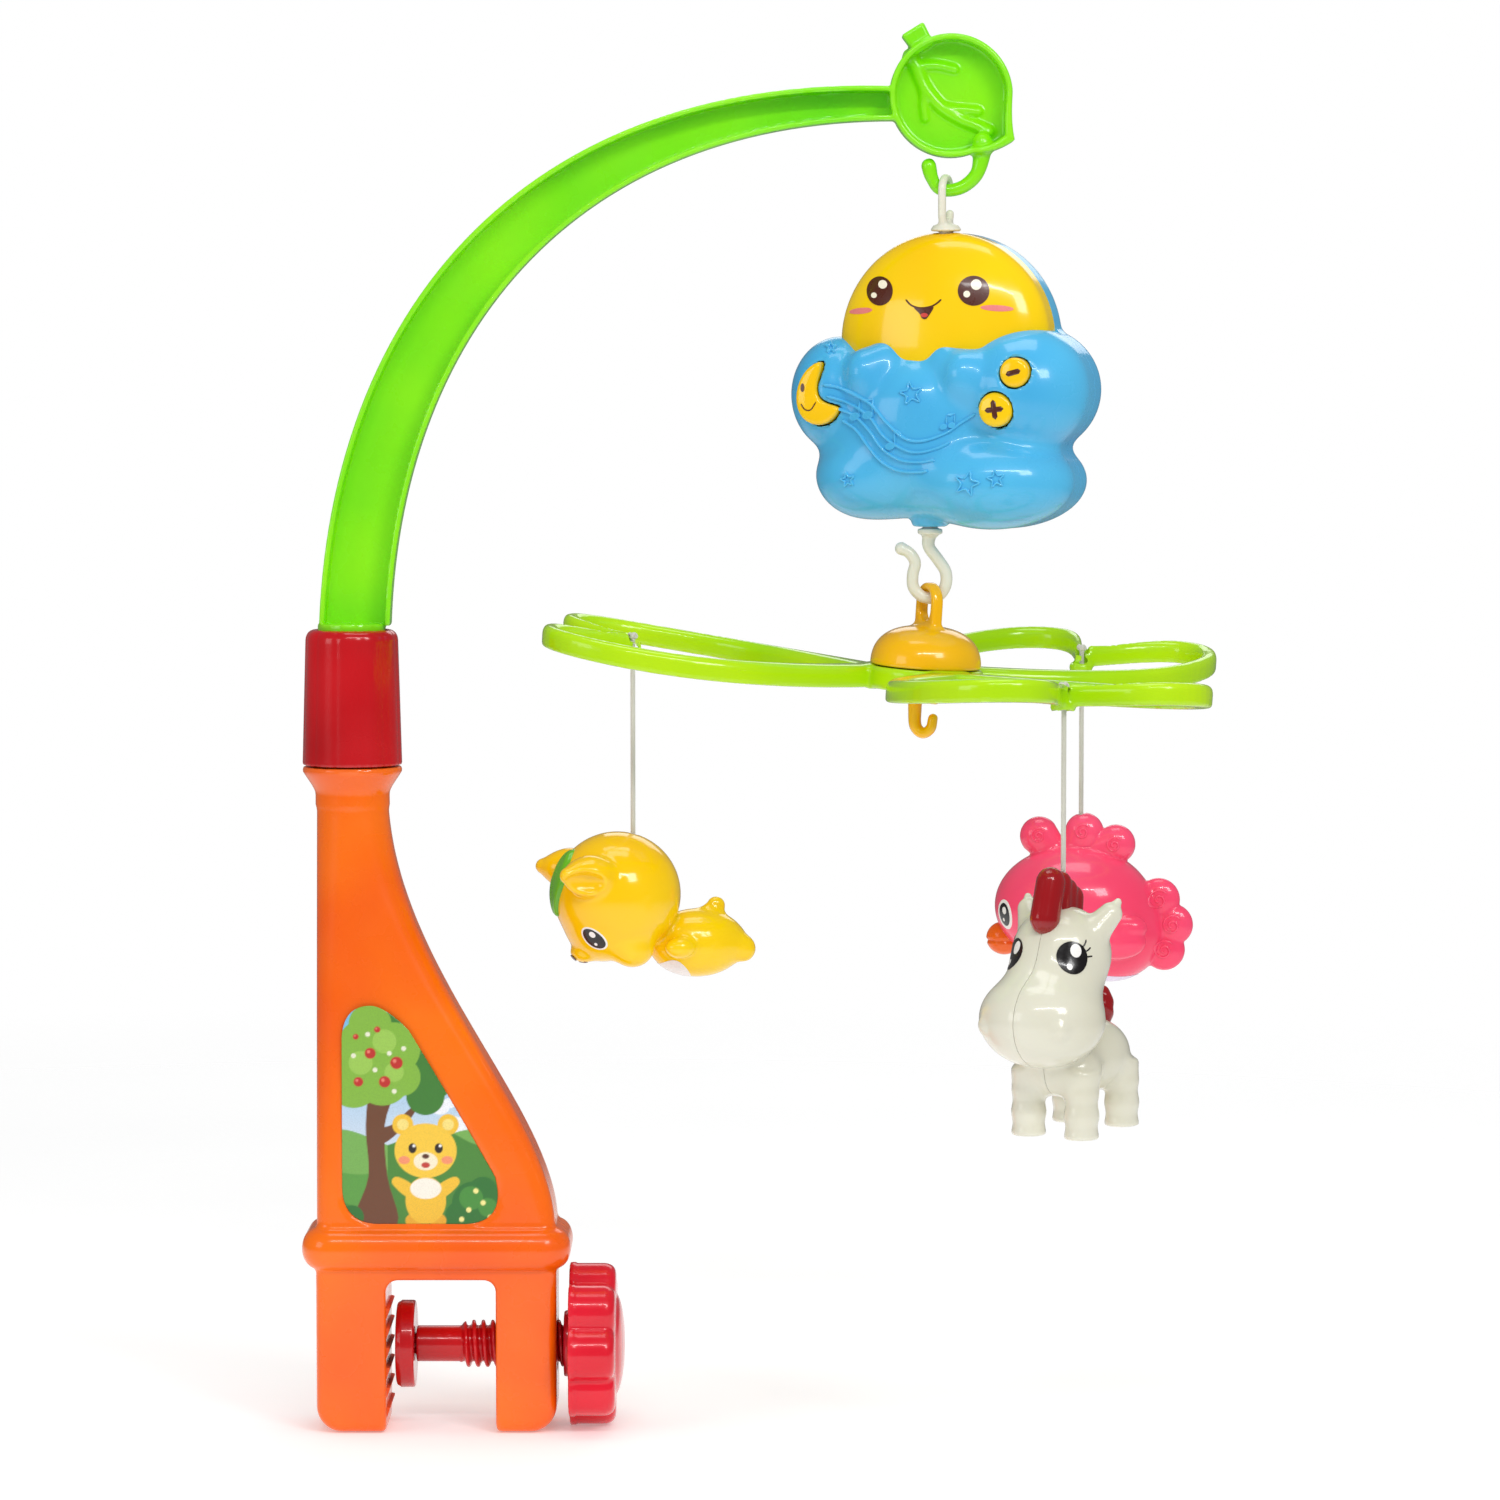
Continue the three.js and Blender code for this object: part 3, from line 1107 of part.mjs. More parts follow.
// A coloured piece that sits in a pocket of its own shape, a little smaller than the pocket.
function inlay(name, centre, radii, colour) {
  const smaller = radii.map((r) => r - GAP);
  return { name, made: ellipsoid(centre, radii, 10), inset: ellipsoid(centre, smaller, 10), colour };
}

const pair = (centre, radii) => [
  [centre, radii],
  [[centre[0], -centre[1], centre[2]], radii],
];

function catShape() {
  return {
    lumps: [
      [[-6, 0, -26], [26.5, 25, 26]],
      [[-12, 0, -44], [14, 14, 9]],
      ...pair([-25, -20, -17], [12, 7.5, 9]),
      [[29, 0, -49], [20, 14, 14]],
      [[41, 0, -49.5], [9, 11, 9]],
      ...pair([47, -6, -50.5], [6, 5, 6.5]),
      ...pair([19, -13.5, -51], [6.5, 5, 5]),
      [[36.5, 0, -35], [4.5, 4.5, 9]],
    ],
    hollow: [
      [[-6, 0, -27], [23.5, 22, 21]],
      [[29, 0, -49], [17, 11, 11]],
    ],
    extras: [inlay("cat_leaf_cap", [-29, 0, -20], [6.5, 9.5, 14], leafGreen)],
  };
}

function unicornShape() {
  return {
    lumps: [
      [[-1, 0, -24], [19, 20.5, 20]],
      [[-17, 0, -49], [23, 25, 19]],
      ...pair([5, -17.5, -9.5], [5, 6.5, 9.5]),
      [[16, 0, -66], [24, 18, 15.5]],
      ...pair([-6, -12, -83], [7, 6.5, 14]),
      ...pair([28, -12, -81], [7.5, 6.5, 14.5]),
    ],
    hollow: [
      [[-1, 0, -26], [16, 17.5, 15.5]],
      [[-17, 0, -49], [20, 22, 16]],
      [[16, 0, -66], [21, 15, 12.5]],
    ],
    extras: [
      inlay("unicorn_forelock", [-7, 0, -2], [10, 5.6, 12], red),
      inlay("unicorn_tail", [34, 0, -49], [4.5, 4.5, 9], red),
    ],
  };
}

function birdShape() {
  return {
    lumps: [
      [[-3, 0, -28], [35, 28, 29]],
      [[13, 0, -40], [25, 20, 22]],
      ...pair([20, -19, -42], [13, 5, 8]),
      [[-17, 0, 1], [7.5, 6, 11]],
      [[1, 5, 1], [7.5, 6, 11]],
      [[14, 0, -2.5], [10.5, 6.5, 7.5]],
      [[35.5, 0, -26], [9, 4.5, 8.7]],
      [[41, 0, -37], [8.5, 4.5, 7.5]],
      [[37.5, 0, -48], [9, 4.5, 8]],
    ],
    hollow: [
      [[-3, 0, -29], [32, 25, 24]],
      [[13, 0, -40], [22, 17, 19]],
    ],
    extras: [inlay("bird_beak", [-34, 0, -45], [8, 6, 7.5], orange)],
  };
}

makeUpright();
makeCollar();
makeClampScrew();
makeArm();
makeEye();
makeMusicBox();
const anchors = makeCarousel();
makeToy("cat", anchors.cat, catShape());
makeToy("unicorn", anchors.unicorn, unicornShape());
makeToy("bird", anchors.bird, birdShape());

export default root;
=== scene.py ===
"""Crib mobile: the looks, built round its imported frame.

Shapes are worked out in millimetres, each in the frame of the body that it belongs to. Most of them are
distance fields: a function gives the distance of any point to the surface, below zero inside, and
surface() turns it into a mesh. The rest are rings of points joined up, or relief laid on a surface.
"""
import json
import math

import bmesh
import bpy
import numpy as np
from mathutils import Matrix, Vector


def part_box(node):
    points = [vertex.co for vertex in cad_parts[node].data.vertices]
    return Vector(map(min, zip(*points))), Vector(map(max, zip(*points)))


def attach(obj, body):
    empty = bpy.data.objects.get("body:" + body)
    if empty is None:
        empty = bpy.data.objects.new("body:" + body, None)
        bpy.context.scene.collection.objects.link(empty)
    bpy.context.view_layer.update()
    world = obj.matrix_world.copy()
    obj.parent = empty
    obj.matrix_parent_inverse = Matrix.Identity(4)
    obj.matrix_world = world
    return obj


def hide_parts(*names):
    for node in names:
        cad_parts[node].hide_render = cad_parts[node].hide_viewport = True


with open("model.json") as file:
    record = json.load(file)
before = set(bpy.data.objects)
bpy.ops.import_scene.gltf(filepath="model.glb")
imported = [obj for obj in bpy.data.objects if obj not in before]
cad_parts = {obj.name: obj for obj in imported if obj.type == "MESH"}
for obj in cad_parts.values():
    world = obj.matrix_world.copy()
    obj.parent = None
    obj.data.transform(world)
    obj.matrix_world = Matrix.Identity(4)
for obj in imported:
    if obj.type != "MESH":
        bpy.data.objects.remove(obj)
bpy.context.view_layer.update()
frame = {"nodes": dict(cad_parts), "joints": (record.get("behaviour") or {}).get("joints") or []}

MM = 0.001


# ---- places, from the frame
def box_mm(node):
    lo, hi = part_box(node)
    return np.array(lo) / MM, np.array(hi) / MM


def joint(name):
    return next(j for j in frame["joints"] if j["name"] == name)


def joint_at(name):
    return np.array(joint(name)["pos_m"]) / MM


def turned(axis, degrees):
    """Rotation matrix about one axis."""
    c, s = math.cos(math.radians(degrees)), math.sin(math.radians(degrees))
    rows = {
        "x": [[1, 0, 0], [0, c, -s], [0, s, c]],
        "y": [[c, 0, s], [0, 1, 0], [-s, 0, c]],
        "z": [[c, -s, 0], [s, c, 0], [0, 0, 1]],
    }
    return np.array(rows[axis])


class Place:
    """Where a body's own frame sits in the object's frame."""

    def __init__(self, at=(0, 0, 0), turn=None):
        self.at = np.array(at, float)
        self.turn = np.eye(3) if turn is None else turn

    def out(self, points):
        return np.asarray(points) @ self.turn.T + self.at

    def back(self, points):
        return (np.asarray(points) - self.at) @ self.turn


WORLD = Place()
door_axis = joint("battery_door_lift")["axis"]
BOX_YAW = -math.degrees(math.atan2(door_axis[0], door_axis[1]))
MUSIC = Place(joint_at("box_turn"), turned("z", BOX_YAW))
DRIVE = Place(joint_at("drive_spin"))
HANG = joint_at("carousel_sway")
FRONT_DOWN, LEFT_UP, HEART_TURN = 1.5, 3.5, 5.5  # how the carousel hangs, in degrees
TILT = turned("x", FRONT_DOWN) @ turned("y", LEFT_UP) @ turned("z", -HEART_TURN)
RIM_DROP = 29.4  # from the drive hook's lowest point to the top of the rim
CAROUSEL = Place(HANG - TILT @ [0, 0, RIM_DROP], TILT)


# ---- distance fields
def blend(k, *fields):
    """Forms joined, with a fillet of about k."""
    total = fields[0]
    for f in fields[1:]:
        h = np.maximum(k - np.abs(total - f), 0) / k
        total = np.minimum(total, f) - h * h * k / 4
    return total


def trim(k, *fields):
    """What all the forms share, with edges rounded by about k."""
    return -blend(k, *[-f for f in fields])


def ellipsoid(p, centre, radii):
    q = (p - np.array(centre, float)) / np.array(radii, float)
    near = np.sqrt((q**2).sum(1))
    slope = np.sqrt(((q / np.array(radii, float)) ** 2).sum(1)) + 1e-9
    return near * (near - 1) / slope


def round_rect(u, v, half_u, half_v, r):
    du, dv = np.abs(u) - (half_u - r), np.abs(v) - (half_v - r)
    outside = np.hypot(np.maximum(du, 0), np.maximum(dv, 0))
    return outside + np.minimum(np.maximum(du, dv), 0) - r


WIRE_REACH = 7  # how far outside its box a wire is measured exactly


def capsule(p, path, radius):
    """Round wire along a line of points; radius is one value, or one for each point.

    Points far outside the wire's box only get their distance to the box.
    """
    path = np.asarray(path, float)
    radius = np.broadcast_to(np.asarray(radius, float), (len(path),))
    lo, hi = path.min(0) - radius.max(), path.max(0) + radius.max()
    result = np.linalg.norm(np.maximum(np.maximum(lo - p, p - hi), 0), axis=1)
    close = result < WIRE_REACH
    q = p[close]
    best = np.full(len(q), 1e9)
    for a, b, ra, rb in zip(path[:-1], path[1:], radius[:-1], radius[1:]):
        ab = b - a
        t = np.clip((q - a) @ ab / (ab @ ab), 0, 1)
        best = np.minimum(best, np.linalg.norm(q - a - t[:, None] * ab, axis=1) - (ra + (rb - ra) * t))
    result[close] = best
    return result


def bezier(points, n=24):
    """Cubic curve with its four control points."""
    t = np.linspace(0, 1, n)[:, None]
    a, b, c, d = (np.array(q, float) for q in points)
    return (1 - t) ** 3 * a + 3 * (1 - t) ** 2 * t * b + 3 * (1 - t) * t**2 * c + t**3 * d


def bend(a, b, c, n=12):
    """Quadratic curve, without its last point."""
    a, b, c = (np.array(q, float) for q in (a, b, c))
    t = np.linspace(0, 1, n, endpoint=False)[:, None]
    return (1 - t) ** 2 * a + 2 * t * (1 - t) * b + t**2 * c


def spline(points, per_span=6, closed=False):
    """Smooth line through points."""
    pts = np.array(points, float)
    ends = [pts[-1:], pts, pts[:2]] if closed else [2 * pts[:1] - pts[1:2], pts, 2 * pts[-1:] - pts[-2:-1]]
    q = np.vstack(ends)
    t = np.linspace(0, 1, per_span, endpoint=False)[:, None]
    out = []
    for p0, p1, p2, p3 in zip(q, q[1:], q[2:], q[3:]):
        bow = 2 * p0 - 5 * p1 + 4 * p2 - p3
        twist = 3 * p1 - p0 - 3 * p2 + p3
        out.append((2 * p1 + (p2 - p0) * t + bow * t**2 + twist * t**3) / 2)
    return np.vstack(out + [pts[:1] if closed else pts[-1:]])


def spun(x, y, degrees):
    """Coordinates along and across a direction, at an angle from X."""
    c, s = math.cos(math.radians(degrees)), math.sin(math.radians(degrees))
    return x * c + y * s, -x * s + y * c


def polygon_distance(u, v, outline):
    """Signed distance to a closed outline, below zero inside."""
    best = np.full(len(u), 1e18)
    inside = np.zeros(len(u), bool)
    for (ax, ay), (bx, by) in zip(outline, np.roll(outline, -1, axis=0)):
        ex, ey = bx - ax, by - ay
        if ex == 0 and ey == 0:
            continue
        t = np.clip(((u - ax) * ex + (v - ay) * ey) / (ex * ex + ey * ey), 0, 1)
        best = np.minimum(best, (u - ax - ex * t) ** 2 + (v - ay - ey * t) ** 2)
        if ey != 0:
            crosses = (ay <= v) != (by <= v)
            inside ^= crosses & (u < ax + ex * (v - ay) / ey)
    return np.where(inside, -1, 1) * np.sqrt(best)


def outline_field(outline, step=0.6, margin=9):
    """The same distance, from a table made once, for outlines that are asked about many times."""
    outline = np.asarray(outline, float)
    lo, hi = outline.min(0) - margin, outline.max(0) + margin
    nu, nv = (np.ceil((hi - lo) / step).astype(int) + 1)
    us, vs = np.meshgrid(lo[0] + step * np.arange(nu), lo[1] + step * np.arange(nv), indexing="ij")
    table = polygon_distance(us.ravel(), vs.ravel(), outline).reshape(nu, nv)

    def field(u, v):
        gu, gv = (u - lo[0]) / step, (v - lo[1]) / step
        cu, cv = np.clip(gu, 0, nu - 1.001), np.clip(gv, 0, nv - 1.001)
        i, j = cu.astype(int), cv.astype(int)
        fu, fv = cu - i, cv - j
        low = table[i, j] * (1 - fu) + table[i + 1, j] * fu
        high = table[i, j + 1] * (1 - fu) + table[i + 1, j + 1] * fu
        return low * (1 - fv) + high * fv + step * np.hypot(gu - cu, gv - cv)

    return field


def gradient(field, p, e=0.05):
    """The field and its slope at each point."""
    here = field(p)
    steps = [(field(p + e * axis) - here) / e for axis in np.eye(3)]
    return here, np.stack(steps, 1)


def grid(counts):
    """Every whole-number point of a box."""
    return np.ascontiguousarray(np.indices(counts).reshape(len(counts), -1).T)


BLOCK = 4  # cells a side of the blocks that are tried first
CORNERS = grid((2, 2, 2))
EDGES = [(a, b) for a in range(8) for b in range(a + 1, 8) if abs(CORNERS[a] - CORNERS[b]).sum() == 1]


def sampled(field, lo, hi, step):
    """The field on a grid; a block far from the surface gets its middle's value throughout."""
    blocks = np.ceil((hi - lo) / (step * BLOCK)).astype(int) + 1
    centre = (grid(blocks) + 0.5) * BLOCK
    coarse = field(lo + (centre - 0.5) * step)
    values = coarse.reshape(blocks).astype(float)
    for axis in range(3):
        values = np.repeat(values, BLOCK, axis)
    near = np.abs(coarse) < step * BLOCK * 1.5
    cells = (centre[near] - BLOCK / 2).astype(int)
    fine = (cells[:, None] + grid((BLOCK,) * 3)[None]).reshape(-1, 3)
    values[tuple(fine.T)] = field(lo + fine * step)
    return values


def crossing_points(values, cells):
    """For each crossed cell, the mean of the crossings on its edges."""
    at = [values[tuple((cells + c).T)] for c in CORNERS]
    total, count = np.zeros((len(cells), 3)), np.zeros(len(cells))
    for a, b in EDGES:
        cross = (at[a] < 0) != (at[b] < 0)
        t = np.where(cross, at[a] / np.where(cross, at[a] - at[b], 1), 0)
        total += np.where(cross[:, None], CORNERS[a] + t[:, None] * (CORNERS[b] - CORNERS[a]), 0)
        count += cross
    return cells + total / count[:, None]


def crossing_quads(solid, ids):
    """A quad round every grid edge that crosses the surface, facing outwards."""
    faces = []
    for axis, size in enumerate(solid.shape):
        start = np.ones(3, int)
        start[axis] = 0
        first = [slice(1, n - 1) for n in solid.shape]
        second = list(first)
        first[axis], second[axis] = slice(0, size - 1), slice(1, size)
        s0, s1 = solid[tuple(first)], solid[tuple(second)]
        for inside_first in (True, False):
            p = np.argwhere((s0 != s1) & (s0 == inside_first)) + start
            corners = [np.roll((0, *back), axis) for back in ((1, 1), (0, 1), (0, 0), (1, 0))]
            quad = np.stack([ids[tuple((p - c).T)] for c in corners], 1)
            faces.append(quad if inside_first else quad[:, ::-1])
    return np.vstack(faces)


def settle(field, verts, step):
    """Points moved onto the surface, by one cell at most."""
    here, slope = gradient(field, verts)
    move = slope * (here / np.maximum((slope**2).sum(1), 0.05))[:, None]
    length = np.linalg.norm(move, axis=1)[:, None]
    return verts - move * np.minimum(1, step / np.maximum(length, 1e-9))


def surface(field, lo, hi, step):
    """Quad mesh of the field's zero level inside a box."""
    lo, hi = np.array(lo, float), np.array(hi, float)
    values = sampled(field, lo, hi, step)
    solid = values < 0
    n = np.array(solid.shape)
    mixed = np.zeros(n - 1, int)
    for c in CORNERS:
        mixed += solid[tuple(slice(a, a + b - 1) for a, b in zip(c, n))]
    crossed = np.argwhere((mixed > 0) & (mixed < 8))
    ids = np.full(n - 1, -1)
    ids[tuple(crossed.T)] = np.arange(len(crossed))
    faces = crossing_quads(solid, ids)
    verts = settle(field, lo + crossing_points(values, crossed) * step, step)
    return settle(field, even_out(verts, faces), step), faces


def even_out(verts, faces):
    """Each point moved towards the mean of its neighbours."""
    total, count = np.zeros_like(verts), np.zeros(len(verts))
    for i in range(4):
        a, b = faces[:, i], faces[:, (i + 1) % 4]
        for s, t in ((a, b), (b, a)):
            for axis in range(3):
                total[:, axis] += np.bincount(s, verts[t, axis], len(verts))
            count += np.bincount(s, minlength=len(verts))
    return verts * 0.4 + 0.6 * total / count[:, None]


# ---- pieces
def piece(name, made, material, body, place=WORLD, stands_for=(), slot=None, sharp=38):
    """A mesh in its body's own frame becomes an object that rides on the body, in place of frame nodes."""
    verts, faces = made
    mesh = bpy.data.meshes.new(name)
    points = place.out(verts) * MM
    mesh.from_pydata(points.tolist(), [], faces if isinstance(faces, list) else faces.tolist())
    mesh.polygons.foreach_set("use_smooth", [True] * len(mesh.polygons))
    if sharp:
        mesh.set_sharp_from_angle(angle=math.radians(sharp))
    mesh.materials.append(material)
    obj = bpy.data.objects.new(name, mesh)
    bpy.context.collection.objects.link(obj)
    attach(obj, body)
    if stands_for:
        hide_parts(*stands_for)
    return obj


def half(made, at, normal):
    """The part of a closed mesh behind a plane, with the cut closed."""
    verts, faces = made
    mesh = bpy.data.meshes.new("cut")
    mesh.from_pydata(verts.tolist(), [], faces.tolist())
    bm = bmesh.new()
    bm.from_mesh(mesh)
    geometry = bm.verts[:] + bm.edges[:] + bm.faces[:]
    cut = bmesh.ops.bisect_plane(bm, geom=geometry, dist=1e-4, plane_co=at, plane_no=normal, clear_outer=True)
    edges = [e for e in cut["geom_cut"] if isinstance(e, bmesh.types.BMEdge) and len(e.link_faces) == 1]
    bmesh.ops.triangle_fill(bm, edges=edges, use_beauty=True, normal=normal)
    bmesh.ops.recalc_face_normals(bm, faces=bm.faces)
    kept = np.array([v.co[:] for v in bm.verts])
    bm.verts.index_update()
    polygons = [[v.index for v in f.verts] for f in bm.faces]
    bm.free()
    bpy.data.meshes.remove(mesh)
    return kept, polygons


def joined(*parts):
    """Several meshes as one."""
    verts, faces, base = [], [], 0
    for v, f in parts:
        verts.append(np.asarray(v))
        faces += [[i + base for i in face] for face in (f if isinstance(f, list) else f.tolist())]
        base += len(v)
    return np.vstack(verts), faces


def rings_to_mesh(rings, closed=False):
    """Joins rings of points, all of one length, and closes both ends."""
    count, sides = rings.shape[:2]
    index = np.arange(count * sides).reshape(count, sides)
    a = index if closed else index[:-1]
    b = np.roll(index, -1, axis=0) if closed else index[1:]
    quads = np.stack([a, np.roll(a, -1, 1), np.roll(b, -1, 1), b], -1).reshape(-1, 4).tolist()
    if not closed:
        quads += [index[0, ::-1].tolist(), index[-1].tolist()]
    return rings.reshape(-1, 3), quads


def directions(line, closed):
    return np.roll(line, -1, 0) - np.roll(line, 1, 0) if closed else np.gradient(line, axis=0)


def tube(path, radius, sides, closed=False):
    """Round strand along a line of points."""
    path = np.asarray(path, float)
    along = directions(path, closed)
    along /= np.linalg.norm(along, axis=1)[:, None]
    side = np.cross(along[0], [0.3, 0.5, 0.8])
    frames = []
    for t in along:
        side = side - t * (side @ t)
        side /= np.linalg.norm(side)
        frames.append((side, np.cross(t, side)))
    angles = np.linspace(0, 2 * math.pi, sides, endpoint=False)
    rings = np.array([
        [p + radius * (math.cos(a) * u + math.sin(a) * w) for a in angles]
        for p, (u, w) in zip(path, frames)
    ])
    return rings_to_mesh(rings, closed)


# ---- relief and print on a surface
LAND_STEPS, LAND_PACE = 22, 0.8  # a drawing walks to the surface in steps of this share of the distance


class Canvas:
    """A flat drawing plane outside a surface. Drawings on it are dropped onto the surface along -normal."""

    def __init__(self, field, origin, normal, up=(0, 0, 1), reach=60):
        self.field, self.origin, self.reach = field, np.array(origin, float), reach
        self.normal = np.array(normal, float) / np.linalg.norm(normal)
        self.right = np.cross(up, self.normal)
        self.right /= np.linalg.norm(self.right)
        self.up = np.cross(self.normal, self.right)

    def land(self, drawing, lift):
        """Points of a drawing on the surface, raised by lift along the surface normal."""
        drawing = np.asarray(drawing, float).reshape(-1, 2)
        start = self.origin + drawing[:, :1] * self.right + drawing[:, 1:] * self.up
        depth = np.zeros(len(start))
        for _ in range(LAND_STEPS):
            gap = self.field(start - depth[:, None] * self.normal)
            depth = np.clip(depth + LAND_PACE * gap, 0, self.reach)
        points = start - depth[:, None] * self.normal
        slope = gradient(self.field, points)[1]
        slope /= np.maximum(np.linalg.norm(slope, axis=1)[:, None], 1e-9)
        return points + slope * np.asarray(lift, float).reshape(-1, 1)

    def patch(self, outline, lift, sink=0.5, rings=5):
        """A thin filled shape, star-shaped about its middle."""
        outline = np.asarray(outline, float)
        middle, n = outline.mean(0), len(outline)
        shares = np.linspace(1 / rings, 1, rings)
        levels = [self.land(middle + (outline - middle) * s, np.full(n, lift)) for s in shares]
        levels.append(self.land(outline, np.full(n, -sink)))
        following = [(i + 1) % n for i in range(n)]
        faces = [[0, 1 + i, 1 + j] for i, j in enumerate(following)]
        for r in range(rings):
            base, below = 1 + r * n, 1 + (r + 1) * n
            faces += [[base + i, below + i, below + j, base + j] for i, j in enumerate(following)]
        faces.append([1 + rings * n + i for i in range(n)][::-1])
        return np.vstack([self.land([middle], [lift])] + levels), faces

    def ribbon(self, line, width, height, sink=0.5, closed=False):
        """A rounded rib along a line of points."""
        line = np.asarray(line, float)
        along = directions(line, closed)
        along /= np.linalg.norm(along, axis=1)[:, None] + 1e-9
        across = np.stack([-along[:, 1], along[:, 0]], 1)
        width, raised = np.full(len(line), float(width)), np.full(len(line), float(height))
        if not closed:
            distance = np.concatenate([[0], np.cumsum(np.linalg.norm(np.diff(line, axis=0), axis=1))])
            end = np.minimum(distance, distance[-1] - distance)
            round_off = np.sqrt(np.clip(1 - (1 - np.clip(end / (width / 2), 0, 1)) ** 2, 0.02, 1))
            width, raised = width * round_off, raised * round_off**0.5
        crown = [(s, raised * math.sqrt(1 - s * s)) for s in np.linspace(-1, 1, 7)[1:-1]]
        edges = ((-1, -0.05), (1, -0.05), (1, -sink), (-1, -sink))
        left, *right = [(s, np.full(len(line), lift)) for s, lift in edges]
        profile = [left] + crown + right
        rows = [self.land(line + across * (s * width / 2)[:, None], lift) for s, lift in profile]
        return rings_to_mesh(np.stack(rows, 1)[:, ::-1], closed)


def circle(x, z, rx, rz, n=28, tilt=0):
    a = np.linspace(0, 2 * math.pi, n, endpoint=False)
    u, v = rx * np.cos(a), rz * np.sin(a)
    c, s = math.cos(math.radians(tilt)), math.sin(math.radians(tilt))
    return np.stack([x + u * c - v * s, z + u * s + v * c], 1)


def star(x, z, r, tilt):
    """Five-pointed outline with soft points."""
    waist = 0.48
    corners = []
    for i in range(10):
        a = math.radians(90 + 36 * i + tilt)
        size = r if i % 2 == 0 else r * waist
        corners.append([x + size * math.cos(a), z + size * math.sin(a)])
    return spline(corners, 4, closed=True)[:-1]


# ---- materials
def linear(red, green, blue):
    """Scene colour of a screen colour, with full cover."""
    shade = [c / 255 for c in (red, green, blue)]
    return [c / 12.92 if c < 0.04045 else ((c + 0.055) / 1.055) ** 2.4 for c in shade] + [1]


def shaded(colour, share):
    return [c * share for c in colour[:3]] + [1]


class Nodes:
    """Short names for making a material's nodes."""

    def __init__(self, name):
        self.material = bpy.data.materials.new(name)
        self.material.use_nodes = True
        self.tree = self.material.node_tree
        self.shader = self.tree.nodes["Principled BSDF"]
        self.coordinates = self.add("ShaderNodeTexCoord").outputs["Object"]

    def add(self, kind, **values):
        node = self.tree.nodes.new(kind)
        for key, value in values.items():
            if key in node.inputs:
                node.inputs[key].default_value = value
            else:
                setattr(node, key, value)
        return node

    def link(self, a, b):
        self.tree.links.new(a, b)

    def noise(self, scale, detail=3, rough=0.5, vector=None):
        node = self.add("ShaderNodeTexNoise", Scale=scale, Detail=detail, Roughness=rough)
        self.link(vector or self.coordinates, node.inputs["Vector"])
        return node.outputs["Fac"]

    def remap(self, value, low, high, to_low, to_high):
        node = self.add("ShaderNodeMapRange")
        node.inputs[1].default_value, node.inputs[2].default_value = low, high
        node.inputs[3].default_value, node.inputs[4].default_value = to_low, to_high
        self.link(value, node.inputs[0])
        return node.outputs[0]

    def mix(self, share, a, b):
        node = self.add("ShaderNodeMix", data_type="RGBA")
        if isinstance(share, float):
            node.inputs[0].default_value = share
        else:
            self.link(share, node.inputs[0])
        for value, socket in ((a, node.inputs[6]), (b, node.inputs[7])):
            if isinstance(value, (list, tuple)):
                socket.default_value = value
            else:
                self.link(value, socket)
        return node.outputs[2]

    def bump(self, height, strength, distance, under=None):
        node = self.add("ShaderNodeBump", Strength=strength, Distance=distance)
        self.link(height, node.inputs["Height"])
        if under:
            self.link(under, node.inputs["Normal"])
        return node.outputs["Normal"]

    def set(self, **sockets):
        for key, value in sockets.items():
            socket = self.shader.inputs[key.replace("_", " ")]
            if isinstance(value, bpy.types.NodeSocket):
                self.link(value, socket)
            else:
                socket.default_value = value


def plastic(name, colour, deep, rough=0.2, grain=0.02, coat=0.5, glow=0.0):
    """Moulded plastic: faint flow marks in the colour, edges worn paler, uneven gloss and fine orange peel."""
    n = Nodes(name)
    colour, deep = linear(*colour), linear(*deep)
    flow = n.remap(n.noise(14, 2), 0.35, 0.68, 0, 1)
    base = n.mix(flow, colour, deep)
    edge = n.remap(n.add("ShaderNodeNewGeometry").outputs["Pointiness"], 0.52, 0.6, 0, 0.35)
    pale = [min(1, c * 1.15 + 0.06) for c in colour[:3]] + [1]
    speck = n.remap(n.noise(900, 2), 0.66, 0.72, 0, 0.12)
    worn = n.mix(edge, base, pale)
    n.set(Base_Color=n.mix(speck, worn, deep))
    n.set(Roughness=n.remap(n.noise(60, 4), 0.3, 0.7, rough - 0.04, rough + 0.07))
    peel = n.bump(n.noise(420, 2), grain, 0.0004)
    n.set(Normal=n.bump(n.noise(32, 1), grain * 3, 0.0012, peel))
    n.set(Coat_Weight=coat, Coat_Roughness=0.06, Specular_IOR_Level=0.3)
    if glow:
        n.set(Subsurface_Weight=glow, Subsurface_Radius=(0.004, 0.003, 0.002), Subsurface_Scale=0.5)
    return n.material


def printed(name, colour, rough=0.35):
    """Ink or film laid on plastic: nearly even colour with a faint screen and a little gloss."""
    n = Nodes(name)
    colour = linear(*colour)
    dull = shaded(colour, 0.82)
    screen = n.remap(n.noise(1400, 1), 0.4, 0.7, 0, 0.35)
    n.set(Base_Color=n.mix(screen, colour, dull))
    n.set(Roughness=n.remap(n.noise(300, 3), 0.3, 0.7, rough - 0.08, rough + 0.08))
    n.set(Normal=n.bump(n.noise(900, 2), 0.05, 0.0002), Coat_Weight=0.4, Coat_Roughness=0.1)
    return n.material


